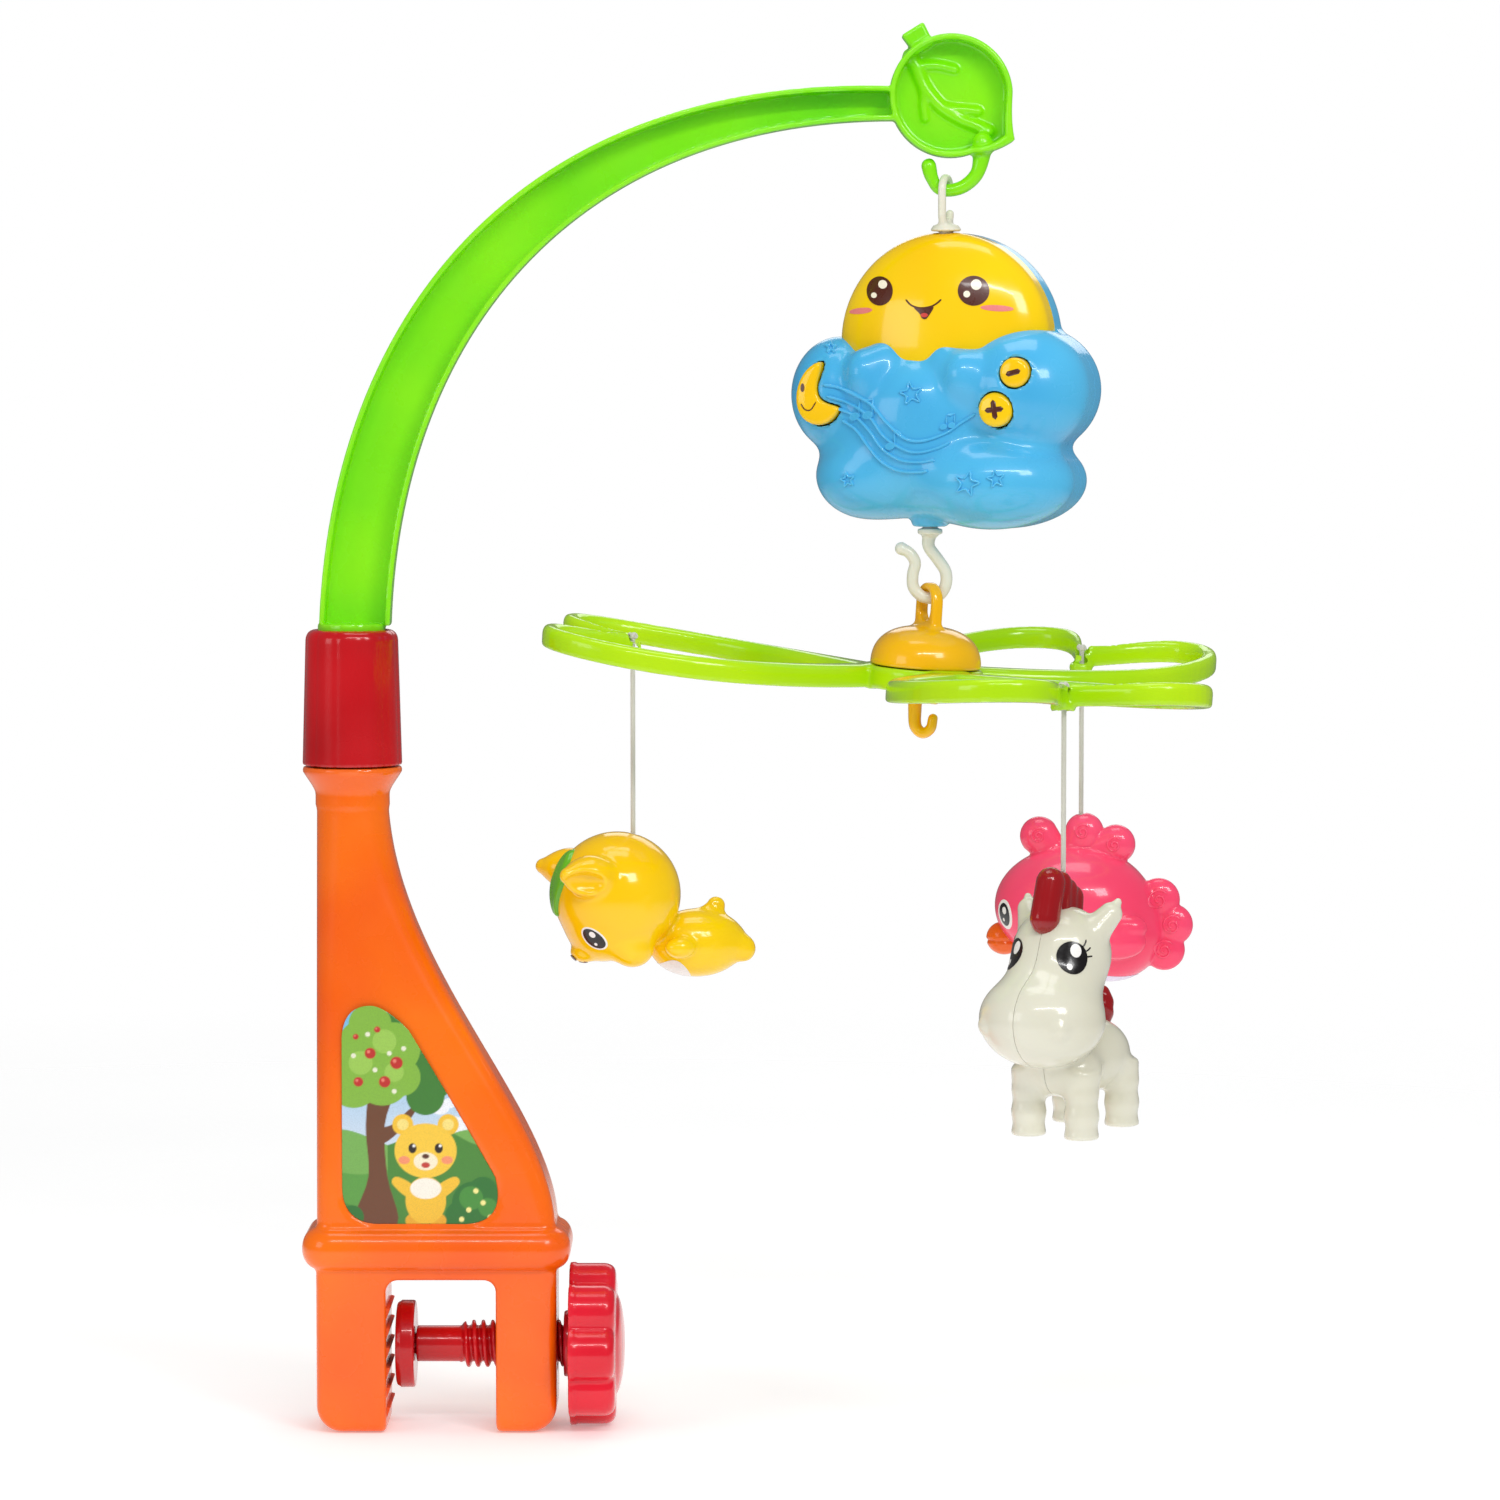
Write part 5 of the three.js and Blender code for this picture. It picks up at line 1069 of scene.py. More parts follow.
# ---- music box
SEAM_Y, BACK_Y, WALL = 8, 26, 2.6
PUFFS = [
    ((-46, -1, -17.2), (20.6, 22, 24.2)),
    ((34, 0, -15.2), (28.6, 27, 26.6)),
    ((-32.4, -1, -51), (23, 24, 18.6)),
    ((21, -2, -53), (35.6, 29, 20.4)),
    ((-10.9, -1, -34), (37, 26, 34.6)),
    ((-8, -5, -20), (30, 20, 21)),
]
BUMPS = [
    ((-29.5, -17, -8.5), (8.6, 9.2, 10.5)),
    ((14, -17.5, -9.5), (9.6, 9.6, 11)),
    ((-22, -13, -4), (8, 8, 9)),
    ((5, -13, -4), (8, 8, 9)),
]
BUTTONS = {"plus": (29.6, -23.4, 7.2), "minus": (37.9, -8.2, 6.2)}
MOON_X, MOON_Z = -50.5, -17.0
SHELL_SCREWS = [(-47, 0), (50, 1), (-38, -52), (47, -52)]
DOOR_X, DOOR_Z, DOOR_WIDE, DOOR_HIGH = 0, -10, 27, 28  # middle and half sizes
SOUND_TURNS = [math.pi * k / 3 for k in range(6)]
SOUND_HOLES = [(0, 30.5)] + [(6 * math.cos(a), 30.5 + 6 * math.sin(a)) for a in SOUND_TURNS]
SHAFT_AT = MUSIC.back(DRIVE.at)


def flattened(p):
    """Points behind the middle plane drop onto it, so that a form keeps its outline down to the back."""
    q = p.copy()
    q[:, 1] = np.minimum(q[:, 1], 0)
    return q


def ellipsoids(p, lumps):
    return [ellipsoid(p, centre, radii) for centre, radii in lumps]


def cloud_form(p):
    q = flattened(p)
    return blend(5, blend(8, *ellipsoids(q, PUFFS)), *ellipsoids(q, BUMPS))


def sun_form(p):
    return ellipsoid(flattened(p), (0, 0, SUN_Z), (SUN_R, SUN_DEPTH, SUN_R))


def cloud_and_outlet(form, p):
    """A form with the collar round the drive shaft below it."""
    x, y, z = p.T
    r = np.hypot((x - SHAFT_AT[0]) * 0.92, y - SHAFT_AT[1])
    return blend(1.5, form, trim(1.2, r - np.interp(z, [-72.5, -66], [6.6, 8.8]), -72.4 - z, z + 55))


def crescent():
    points = [(2.5, 13.4), (-9, 11), (-13, -12), (2, -13), (6, -13), (10, -10), (11.4, -6)]
    points += [(9, -3.6), (1, -5), (1.4, 3), (1.6, 7), (4.4, 11), (2.5, 13.4)]
    points = np.array(points) + [MOON_X, MOON_Z]
    return np.vstack([bezier(points[i : i + 4], n)[:-1] for i, n in ((0, 16), (3, 8), (6, 12), (9, 8))])


moon_outline = outline_field(crescent(), 0.35, 4)


def inner_room(p):
    """The hollow of the music box, less the screw posts."""
    x, y, z = p.T
    room = np.minimum(cloud_form(p), sun_form(p)) + WALL
    gears = np.maximum(np.hypot(x - SHAFT_AT[0], y - SHAFT_AT[1]) - 11.5, np.abs(z + 52) - 8)
    room = trim(11, np.minimum(room, gears), y - BACK_Y + WALL)
    for sx, sz in SHELL_SCREWS:
        room = np.maximum(room, 4 - np.hypot(x - sx, z - sz))
    return room


def holes(p):
    x, y, z = p.T
    out = np.maximum(np.hypot(x - SHAFT_AT[0], y - SHAFT_AT[1]) - 3.6, z + 60)
    for bx, bz, r in BUTTONS.values():
        out = np.minimum(out, np.maximum(np.hypot(x - bx, z - bz) - r - 0.5, y + 9))
    out = np.minimum(out, np.maximum(moon_outline(x, z) - 0.6, y + 5))
    return np.minimum(out, np.maximum(np.hypot(x, y) - 3, 30 - z))


def cloud_field(p):
    outer = cloud_and_outlet(cloud_form(p), p)
    return trim(0.7, np.maximum(outer, -inner_room(p)), -holes(p))


def sun_field(p):
    inside_cloud = np.minimum(cloud_form(p) + 1.6, 60)
    return np.maximum(np.maximum(sun_form(p), -inner_room(p)), np.maximum(-holes(p), -inside_cloud))


def rear_field(p):
    x, y, z = p.T
    form = blend(3, cloud_form(p), sun_form(p))
    outer = cloud_and_outlet(trim(11, form, y - BACK_Y), p)
    opening = round_rect(x - DOOR_X, z - DOOR_Z, DOOR_WIDE, DOOR_HIGH, 2.5)
    shell = trim(0.6, np.maximum(outer, -inner_room(p)), -np.maximum(opening, 16 - y), -holes(p))
    shell = drilled(shell, p, SHELL_SCREWS, 3.4, 12, 0.6)
    return drilled(shell, p, SOUND_HOLES, 1.4, 5, 0.4)


def front_cloud(p):
    return cloud_and_outlet(cloud_form(p), p)


def make_music_shells():
    forms = [
        ("cloud_front", cloud_field, (-70, -36, -76), (66, 12, 14), 1.1, "cloud_front_shell"),
        ("sun_face", sun_field, (-50, -22, -45), (50, 12, 54), 1.15, "sun_face_shell"),
        ("music_box_rear", rear_field, (-72, 2, -78), (70, BACK_Y + 3, 54), 1.1, "rear_shell"),
    ]
    for name, field, lo, hi, step, node in forms:
        facing = -1 if name == "music_box_rear" else 1
        material, slot = (YELLOW, "yellow_part") if name == "sun_face" else (BLUE, "blue_shell")
        shell = half(surface(field, lo, hi, step), (0, SEAM_Y - PARTING * facing, 0), (0, facing, 0))
        piece(name, shell, material, "music_box", MUSIC, [node], slot)


def front_canvas(field):
    """A drawing plane square to the room's front; drawings on it are measured from the box's hanging line."""
    normal = MUSIC.turn.T @ [0, -1, 0]
    return Canvas(field, 46 * normal, normal, reach=52)


def note_head(canvas, x, z, size):
    stem_x, top = x + 1.4 * size, z + 6.2 * size
    head = canvas.patch(circle(x, z, 1.9 * size, 1.4 * size, 14, 25), 1.2)
    return [head, canvas.ribbon([(stem_x, z), (stem_x + 0.1, (z + top) / 2), (stem_x + 0.2, top)], 1.0, 1.2)]


def note(canvas, x, z, size, pair=0.0):
    """A raised note with its head at x, z; pair is the distance to a second head on the same beam."""
    parts = note_head(canvas, x, z, size)
    top = np.array([x + 1.6 * size, z + 6.0 * size])
    if not pair:
        return parts + [canvas.ribbon(spline([top, top + [1.8, -1.0], top + [2.4, -2.8]], 4), 1.2, 0.8)]
    parts += note_head(canvas, x + pair, z + 0.6, size)
    return parts + [canvas.ribbon([top, top + [pair / 2, 0.1], top + [pair, 0.5]], 1.7, 0.9)]


STAVE = [
    [(-51.6, -13.1), (-42.3, -15.2), (-32, -20.9), (-24.8, -29.1), (-17.6, -35.3), (-10.3, -36.3)],
    [(-50, -17.8), (-40.3, -20.9), (-32, -26.5), (-25.8, -34.8), (-17.6, -40), (-11.4, -41)],
    [(-45.4, -22.9), (-38.2, -26), (-32, -32.2), (-26.9, -39.4), (-19.6, -44.1), (-11.4, -45.1), (-5, -44.2)],
    [(-43.4, -27.6), (-37.2, -32.2), (-32, -39.4), (-26.9, -45.1), (-19.6, -48.7), (-11.4, -49.2), (-8, -48.6)],
]
STAVE[0] += [(-1, -33.2), (5.1, -29.1), (11.5, -25)]
STAVE[1] += [(-4.2, -39.4), (1, -37)]
NOTES = [(-37.6, -26.4, 1.1, 5.4), (-23.2, -38.4, 1.05, 0), (-1.8, -30.4, 0.8, 3.4)]
STARS = [(-15, -16.9, 4.6, 10), (7.7, -53.7, 5, -14), (19.4, -51.8, 3.5, 10), (-41, -52.6, 2.9, 12)]
STARS += [(-47.8, 2.2, 2.2, 0)]


def make_cloud_relief():
    canvas = front_canvas(front_cloud)
    parts = [canvas.ribbon(spline(line, 7), 1.5, 1.25) for line in STAVE]
    for values in NOTES:
        parts += note(canvas, *values)
    parts += [canvas.ribbon(star(*values), 1.0, 1.05, closed=True) for values in STARS]
    piece("cloud_relief", joined(*parts), BLUE, "music_box", MUSIC, slot="blue_shell")


# x, z, half width, half height, then the bright and the small highlight as x, z, radius
SUN_EYES = {
    "left": (-27.6, 25.8, 5.3, 6.1, (-26.3, 28.5, 1.8), (-29.9, 24.0, 1.15)),
    "right": (10.8, 25.6, 6.5, 6.2, (11.9, 28.1, 2.2), (8.0, 24.2, 1.4)),
}
SUN_CHEEKS = {"left": (-35.4, 17.6, 4.7, 5), "right": (20.4, 18.4, 6.9, -3)}  # x, z, half width, tilt
SMILE = [(-17.1, 22.2), (-15, 19.9), (-12.4, 18.8), (-9.8, 18.6), (-6.7, 19.2), (-4.4, 20.4), (-2.4, 22.2)]
MOUTH = [(-13.7, 19), (-11.4, 16.3), (-10.4, 14.4), (-8.8, 14), (-7.3, 15.8), (-5.7, 19.1), (-9.8, 18.6)]


def make_sun_features():
    canvas = front_canvas(sun_form)

    def add(name, made, ink):
        piece(f"sun_{name}", made, ink, "music_box", MUSIC)

    for side, (x, z, wide, high, *shines) in SUN_EYES.items():
        add(f"eye_{side}", canvas.patch(circle(x, z, wide, high, 40), 0.16), BROWN)
        dots = [canvas.patch(circle(u, v, r, r, 18), 0.3) for u, v, r in shines]
        add(f"eye_shine_{side}", joined(*dots), CREAM)
    for side, (x, z, wide, tilt) in SUN_CHEEKS.items():
        add(f"cheek_{side}", canvas.patch(circle(x, z, wide, 1.25, 30, tilt), 0.14), BLUSH)
    add("smile", canvas.ribbon(spline(SMILE, 6), 0.8, 0.2), BROWN)
    add("mouth", canvas.patch(spline(MOUTH, 5, closed=True)[:-1], 0.18), BROWN)
    add("tongue", canvas.patch(circle(-9.4, 15.6, 1.5, 0.9, 14), 0.24), MOUTH_RED)


def button_field(front, radius, outline):
    """A low domed cap with a straight lip behind it."""
    def field(p):
        x, y, z = p.T
        flat = outline(x, z)
        crown = front - 1.7 + 0.02 * np.maximum(radius + flat, 0) ** 2
        cap = trim(1.6, flat, crown - y, y - front - 5)
        lip = trim(0.6, flat, front + 1 - y, y - front - 5)
        return np.minimum(cap, lip)

    return field


def cloud_front_y(x, z):
    """Where the cloud's front surface is at x, z."""
    y = np.linspace(-34, -5, 240)
    p = np.stack([np.full(240, x), y, np.full(240, z)], 1)
    return y[np.argmax(front_cloud(p) < 0)]


def make_button(name, x, z, radius, outline, low, high):
    """One button, with low and high its reach round x, z; gives a canvas to draw on it."""
    front, body = cloud_front_y(x, z), f"{name}_button"
    field = button_field(front, radius, outline)
    made = surface(field, (x + low[0], front - 4, z + low[1]), (x + high[0], front + high[2], z + high[1]), 0.5)
    piece(f"{name}_cap", made, YELLOW, body, MUSIC, [body], "yellow_part")
    canvas = Canvas(field, (x, front - 6, z), (0, -1, 0), reach=14)
    return canvas, body


BARS = {"plus": [((-4.0, -0.4), (4.0, 0.4)), ((-0.6, 4.0), (0.6, -4.0))], "minus": [((-3.1, -0.8), (3.1, 0.8))]}


def make_buttons():
    for name, (x, z, r) in BUTTONS.items():
        def disc(u, v, x=x, z=z, r=r):
            return np.hypot(u - x, v - z) - r

        canvas, body = make_button(name, x, z, r, disc, (-r - 2, -r - 2), (r + 2, r + 2, 7))
        lines = [canvas.ribbon(np.linspace(a, b, 9), 2.4, 0.3) for a, b in BARS[name]]
        piece(f"{name}_mark", joined(*lines), BROWN, body, MUSIC)
    canvas, body = make_button("moon", MOON_X, MOON_Z, 5, moon_outline, (-14, -17), (15, 17, 8))
    eye = canvas.patch(circle(-4.4, 2.6, 0.85, 1.8, 16), 0.2)
    smile = canvas.ribbon(spline([(-5.2, -4.0), (-3.4, -6.4), (-0.8, -6.6), (1.6, -3.2)], 5), 0.6, 0.25)
    piece("moon_marks", joined(eye, smile), BROWN, body, MUSIC)


def door_field(p):
    x, y, z = p.T
    plate = round_rect(x - DOOR_X, z - DOOR_Z, DOOR_WIDE - 0.4, DOOR_HIGH - 0.4, 2.3)
    plate = trim(1.0, plate, y - BACK_Y, BACK_Y - WALL + 0.2 - y)
    for k in range(3):
        grip = trim(0.8, np.abs(x) - 9 + k * 1.6, np.abs(z - 12 + 2.6 * k) - 0.55, np.abs(y - BACK_Y) - 0.7)
        plate = blend(0.5, plate, grip)
    return trim(0.6, plate, 1.6 - np.hypot(x, z + 32))


def make_battery_door():
    wide, high = DOOR_WIDE + 1, DOOR_HIGH + 1
    made = surface(door_field, (-wide, BACK_Y - 5, DOOR_Z - high), (wide, BACK_Y + 3, DOOR_Z + high), 0.7)
    piece("battery_door_plate", made, BLUE, "battery_door", MUSIC, ["battery_door"], "blue_shell")


# ---- drive hook
BOX_Z = MUSIC.at[2] - DRIVE.at[2]  # the music box's own zero, from the hook's
DRIVE_HOOK = [(0, -75), (-0.6, -80.5), (3.2, -86), (6.6, -91.5), (6.4, -97.5), (2.8, -101.9)]
DRIVE_HOOK += [(-2.7, -101.9), (-6.8, -98), (-7.2, -92.5), (-6.2, -87.5), (-8.6, -83.5), (-12, -81.6)]


def drive_field(p):
    x, y, z = p.T
    path = spline([(u, 0, BOX_Z + v) for u, v in DRIVE_HOOK], 5)
    radii = np.interp(np.linspace(0, 1, len(path)), [0, 0.1, 0.94, 1], [2.9, 2.5, 2.4, 2.7])
    r = np.hypot(x, y)
    flange = trim(0.8, r - 5.2, np.abs(z - BOX_Z + 74.4) - 1.1)
    stem = np.maximum(r - 2.8, np.abs(z - BOX_Z + 65) - 11)
    return blend(1.4, blend(2.2, capsule(p, path, radii), flange), stem)


def make_drive_hook():
    made = surface(drive_field, (-17, -7, -6), (12, 7, BOX_Z - 52), 0.55)
    piece("drive_hook_body", made, WHITE, "drive_hook", DRIVE, ["drive_hook"], "ivory_part")


# ---- carousel
RIM_HIGH = 9.4
REACH = 124  # from the hub's middle to a cord
HUB_RADIUS = 24.5
LOOP_RISE = 5.8  # the loops curve upwards by this much at the cords
LOOP_TURN = 90 + 25 + HEART_TURN  # which way the hub's loop faces, in degrees
ARMS = {"cat": 180, "unicorn": -60, "bird": 60}


def heart(start, a, b, lobe, c, notch):
    upper = np.vstack([
        bezier([(start, 0), a[0], a[1], b[0]], 26)[:-1],
        bezier([b[0], b[1], b[2], lobe], 14)[:-1],
        bezier([lobe, c[0], c[1], (notch, 0)], 18),
    ])
    lower = upper[1:-1][::-1] * [1, -1]
    return np.vstack([upper, lower])


OUTER_HEART = (14, [(44, 40), (78, 64)], [(112, 64), (140, 64), (158, 52)], (158, 33))
OUTER_HEART += ([(158, 15), (134, 10)], 128)
INNER_HEART = (31, [(56, 36), (80, 57.5)], [(111, 57.5), (135, 57.5), (151.5, 48)], (151.5, 33))
INNER_HEART += ([(151.5, 19), (130, 8)], 119.5)
outer_heart, inner_heart = (outline_field(heart(*points)) for points in (OUTER_HEART, INNER_HEART))


def loop_form(x, y, z, angle):
    """One heart-shaped loop with its cord's boss and hole."""
    u, v = spun(x, y, angle)
    z = z - LOOP_RISE * (np.maximum(u - HUB_RADIUS, 0) / (REACH - HUB_RADIUS)) ** 2
    loop = trim(4.2, trim(0.8, outer_heart(u, v), -inner_heart(u, v)), z)
    loop = trim(1.6, loop, -RIM_HIGH - z)
    rest = np.hypot(u - REACH, v)
    loop = blend(1.4, loop, trim(1.0, rest - 5, np.abs(z + 9.5) - 1.8))
    hole = np.maximum(rest - np.interp(z, [-RIM_HIGH - 2, -3], [3.9, 1.7]), z + 3)
    seat = np.maximum(rest - 3.1, -3.5 - z)
    return trim(0.6, loop, -hole, -seat)


def carousel_field(p):
    x, y, z = p.T
    disc = trim(2.0, np.hypot(x, y) - HUB_RADIUS, z, -RIM_HIGH - z)
    return blend(2.4, disc, *[loop_form(x, y, z, angle) for angle in ARMS.values()])


def hub_field(p):
    x, y, z = p.T
    dome = ((np.hypot(x, y) / 23.3) ** 2.5 + (np.maximum(z, 0) / 17.4) ** 2.5) ** 0.4
    dome = trim(1.2, (dome - 1) * 17.4, 0.4 - z)
    u, v = spun(x, y, LOOP_TURN)
    slot = round_rect(u, z - 25.9, 5, 6.5, 4.95)
    strap = trim(1.8, round_rect(u, z - 21.8, 8.6, 13.8, 8.5), -slot, np.abs(v) - 2.5)
    return blend(2.6, dome, strap)


def lower_hook_field(p):
    x, y, z = p.T
    q = np.stack([*spun(x, y, -HEART_TURN), z], 1)
    line = [(-3.4, -2), (-3.3, -9), (-2.6, -15.6), (0.6, -18.4), (3.8, -16.4), (4.6, -12)]
    path = spline([(u, 0, v - RIM_HIGH) for u, v in line], 6)
    radii = np.interp(np.linspace(0, 1, len(path)), [0, 0.5, 1], [3.0, 2.4, 2.0])
    hook = capsule(q * [1, 0.62, 1], path, radii)
    disc = trim(1.0, np.hypot(x, y) - 10, np.abs(z + RIM_HIGH + 1.9) - 1.5)
    nub = capsule(q, [(1.5, 0, -RIM_HIGH - 4.5), (5.4, 0, -RIM_HIGH - 4.5)], 1.5)
    return blend(1.6, hook, disc, nub)


def make_carousel():
    rim = surface(carousel_field, (-164, -158, -13.5), (130, 158, 13), 1.2)
    piece("carousel_rim", rim, LEAF, "carousel", CAROUSEL, ["carousel_frame"], "green_carousel")
    cap = surface(hub_field, (-27, -27, -1), (27, 27, 38), 0.8)
    piece("hub_cap", cap, HUB, "carousel", CAROUSEL, ["hub_dome"], "yellow_part")
    hook = surface(lower_hook_field, (-13, -13, -33), (13, 13, -8), 0.6)
    piece("lower_hook_body", hook, HUB, "carousel", CAROUSEL, ["lower_hook"], "yellow_part")


# ---- cords
STRAND, LAY = 0.5, 3.4  # a strand's distance from the cord's middle, and the length of one turn


def knot(at, size):
    """A small overhand knot."""
    t = np.linspace(0, 2 * math.pi, 60, endpoint=False)
    path = np.stack([np.sin(t) + 2 * np.sin(2 * t), np.cos(t) - 2 * np.cos(2 * t), -1.2 * np.sin(3 * t)], 1)
    return tube(np.array(at) + path * size / 3.6, size * 0.42, 8, closed=True)


def make_cord(name):
    """Three strands laid round each other, from the knot in the rim to the knot in the animal."""
    lo, hi = box_mm(f"{name}_cord")
    x, y = (lo[:2] + hi[:2]) / 2
    low, high = lo[2] + 1.8, hi[2] - 2.2
    z = np.linspace(low, high, int((high - low) / 0.34))
    strands = []
    for k in range(3):
        turn = 2 * math.pi * (z / LAY + k / 3)
        path = np.stack([x + STRAND * np.cos(turn), y + STRAND * np.sin(turn), z], 1)
        strands.append(tube(path, 0.6, 7))
    made = joined(*strands, knot((x, y, low), 1.9), knot((x, y, high), 1.9))
    cord = f"{name}_cord"
    piece(f"{name}_braid", made, CORD, cord, stands_for=[cord], slot="cord_white", sharp=None)


# ---- animals
SIDES = (("near", -1), ("far", 1))


def mirrored(centre, radii):
    x, y, z = centre
    return [(centre, radii), ((x, -y, z), radii)]


def mirrored_line(*points):
    """A line on the far side (+Y) and its mirror image, the near one first."""
    return [np.array(points) * [1, side, 1] for side in (-1, 1)]


class Toy:
    """A hollow animal in two halves. Its own frame has its cord along Z and its head towards -X."""

    def __init__(self, name, drop, yaw, skin, slot):
        self.name, self.skin, self.slot = name, skin, slot
        at = joint_at(f"{name}_twist")
        self.place = Place((at[0], at[1], drop), turned("z", yaw))

    def build(self, field, lo, hi):
        self.field = field
        whole = surface(field, lo, hi, 1.0)
        for side, y in SIDES:
            shell = half(whole, (0, 0.12 * y, 0), (0, -y, 0))
            self.add(f"{side}_shell", shell, self.skin, f"{self.name}_{side}_half", self.slot)

    def add(self, name, made, material, replaced=None, slot=None):
        replaced = [replaced] if replaced else []
        piece(f"{self.name}_{name}", made, material, self.name, self.place, replaced, slot)

    def canvas(self, towards, angle, rise=0, up=(0, 0, 1), away=60):
        """A drawing plane that looks at a point of the toy; angle is measured from its nose, about the cord."""
        a, r = math.radians(angle), math.radians(rise)
        normal = np.array([-math.cos(a) * math.cos(r), math.sin(a) * math.cos(r), math.sin(r)])
        return Canvas(self.field, np.array(towards, float) + away * normal, normal, up, away + 20)

    def eye(self, label, canvas, size, tall, ring, look):
        """An eye with two highlights, and a white ring where one is asked for."""
        high = size * tall
        if ring:
            self.add(f"eye_ring_{label}", canvas.patch(circle(0, 0, size + ring, high + ring), 0.12), WHITE_INK)
        self.add(f"eye_{label}", canvas.patch(circle(0, 0, size, high), 0.2), INK)
        u, v = look
        shines = [
            circle(u * size, v * size * tall, size * 0.36, size * 0.42, 16),
            circle(-u * size * 1.1, -v * size * tall * 1.3, size * 0.18, size * 0.2, 12),
        ]
        self.add(f"eye_shine_{label}", joined(*[canvas.patch(shine, 0.3) for shine in shines]), WHITE_INK)

    def lashes(self, label, canvas, wide, high):
        lines = []
        for angle in (2, 22, 42):
            a = math.radians(angle)
            root = np.array([math.cos(a) * wide, math.sin(a) * high])
            curl = root * [[0.95, 0.95], [1.2, 1.22], [1.38, 1.62]]
            lines.append(canvas.ribbon(spline(curl, 4), 0.75, 0.2))
        self.add(f"lashes_{label}", joined(*lines), INK)


def cord_well(p):
    """The hole that a cord's knot sits in."""
    x, y, z = p.T
    return np.maximum(np.hypot(x, y) - 1.7, -7.5 - z)


CAT_TRUNK = [((28, 0, -48.5), (21, 14.5, 14.5)), ((41, 0, -49.5), (9, 10, 7.5))]
CAT_TRUNK += mirrored((47, -5.5, -51), (5, 4.5, 5.5)) + mirrored((17, -14, -49), (6.4, 5, 4.4))
CAT_FIN = [(32.0, 0, -42.0), (36.2, 0, -33.0)]
CAT_CHEEKS = mirrored((-3, -11, -49), (9, 8, 8))
CAT_EARS = mirrored((-22.5, -18.5, -17.5), (11.5, 8, 8.6))
CAT_EAR_TIPS = mirrored_line((-25.0, 19.5, -17.5), (-34.0, 23.0, -16.5))
CAT_EAR_HOLLOWS = mirrored((-27.5, -26, -20), (9, 4.6, 5))
CAT_CHIN = ((-21, 0, -51), (6, 7, 4.6))
CAT_MOUTH = [(-3.4, -2.4), (-1.8, -3.8), (0, -1.6), (1.8, -3.8), (3.4, -2.4)]
CAP_OUTLINE = [(0, 13), (6, 8), (8.6, 0), (5, -9), (0, -15.5), (-5, -9), (-8.6, 0), (-6, 8)]
cap_outline = outline_field(spline(CAP_OUTLINE, 6, closed=True)[:-1], 0.4)


def cat_head(p):
    ball = blend(5, ellipsoid(p, (-7, 0, -27), (27, 25.5, 26.5)), ellipsoid(p, (-14, 0, -43), (13, 16, 12)))
    return blend(4, ball, *ellipsoids(p, CAT_CHEEKS))


def cat_field(p):
    ears = blend(5, *ellipsoids(p, CAT_EARS), *[capsule(p, line, [6.2, 3.0]) for line in CAT_EAR_TIPS])
    ears = trim(1.8, ears, *[-hollow for hollow in ellipsoids(p, CAT_EAR_HOLLOWS)])
    head = blend(1.6, blend(2.2, cat_head(p), ears), ellipsoid(p, *CAT_CHIN))
    trunk = blend(2.5, *ellipsoids(p, CAT_TRUNK))
    trunk = blend(3, trunk, capsule(p * [1, 1.5, 1], CAT_FIN, [7.6, 3.9]))
    return trim(0.6, blend(2.0, head, trunk), -cord_well(p))


def cap_field(p):
    """A leaf that lies on the head, with a furrow along its middle."""
    x, y, z = p.T
    thick = 1.7 - 0.5 * np.exp(-((y / 0.9) ** 2))
    return trim(1.4, cat_head(p) - thick, cap_outline(y, z + 20.5), x + 18)


def make_cat():
    toy = Toy("cat", 187, 15, YELLOW, "yellow_part")
    toy.build(cat_field, (-43, -34, -66), (56, 34, 3))
    leaf = surface(cap_field, (-40, -11, -39), (-15, 11, -4), 0.7)
    toy.add("leaf", leaf, LEAF_CAP, "cat_leaf_cap", "green_carousel")
    for label, side in SIDES:
        canvas = toy.canvas((-9, 0, -38), 53 * side, -17, up=(-0.82, 0, 0.57))
        toy.eye(label, canvas, 3.6, 1.55, ring=0.8, look=(-0.35 * side, 0.3))
    face = toy.canvas((-16, 0, -44), 0, -50, up=(-0.7, 0, 0.7))
    toy.add("nose", face.patch(circle(0, 1.4, 2.3, 1.5, 18), 0.5), BROWN)
    toy.add("mouth", face.ribbon(spline(CAT_MOUTH, 5), 0.7, 0.25), BROWN)
    below = toy.canvas((18, 0, -46), 0, -89, up=(-1, 0, 0))
    toy.add("bib", below.patch(circle(0, 0, 10.5, 7.0), 0.16), WHITE_INK)


SKULL_AND_MUZZLE = [((-1, 0, -24), (19.5, 20, 19.5)), ((-17, 0, -48.5), (24, 25.5, 19.5))]
UNICORN_EARS = mirrored_line((1.0, 14, -14.0), (5.5, 18.5, -7.5), (8.0, 20.5, -2.8))
NOSTRILS = mirrored((-31.4, -15, -50.5), (5.3, 5.3, 5))
TRUNK_AND_CHEST = [((16, 0, -66), (24, 18, 15.5)), ((-3, 0, -69), (12.5, 18, 12))]
LEGS = {"front": (-6, 12, -97), "rear": (28, 12, -95.5)}  # x, y and the height of the sole


def leg_field(p):
    """Four round legs with rings moulded round them."""
    parts = []
    for x, y, low in LEGS.values():
        for side in (-1, 1):
            r = np.hypot((p[:, 0] - x) / 1.05, p[:, 1] - y * side)
            above = p[:, 2] - low
            wide = 6.7 + 0.3 * np.cos(above * 2 * math.pi / 9.5) * np.clip((23 - above) / 7, 0, 1)
            parts.append(trim(1.6, r - wide, -above, above - 27))
    return blend(1.2, *parts)


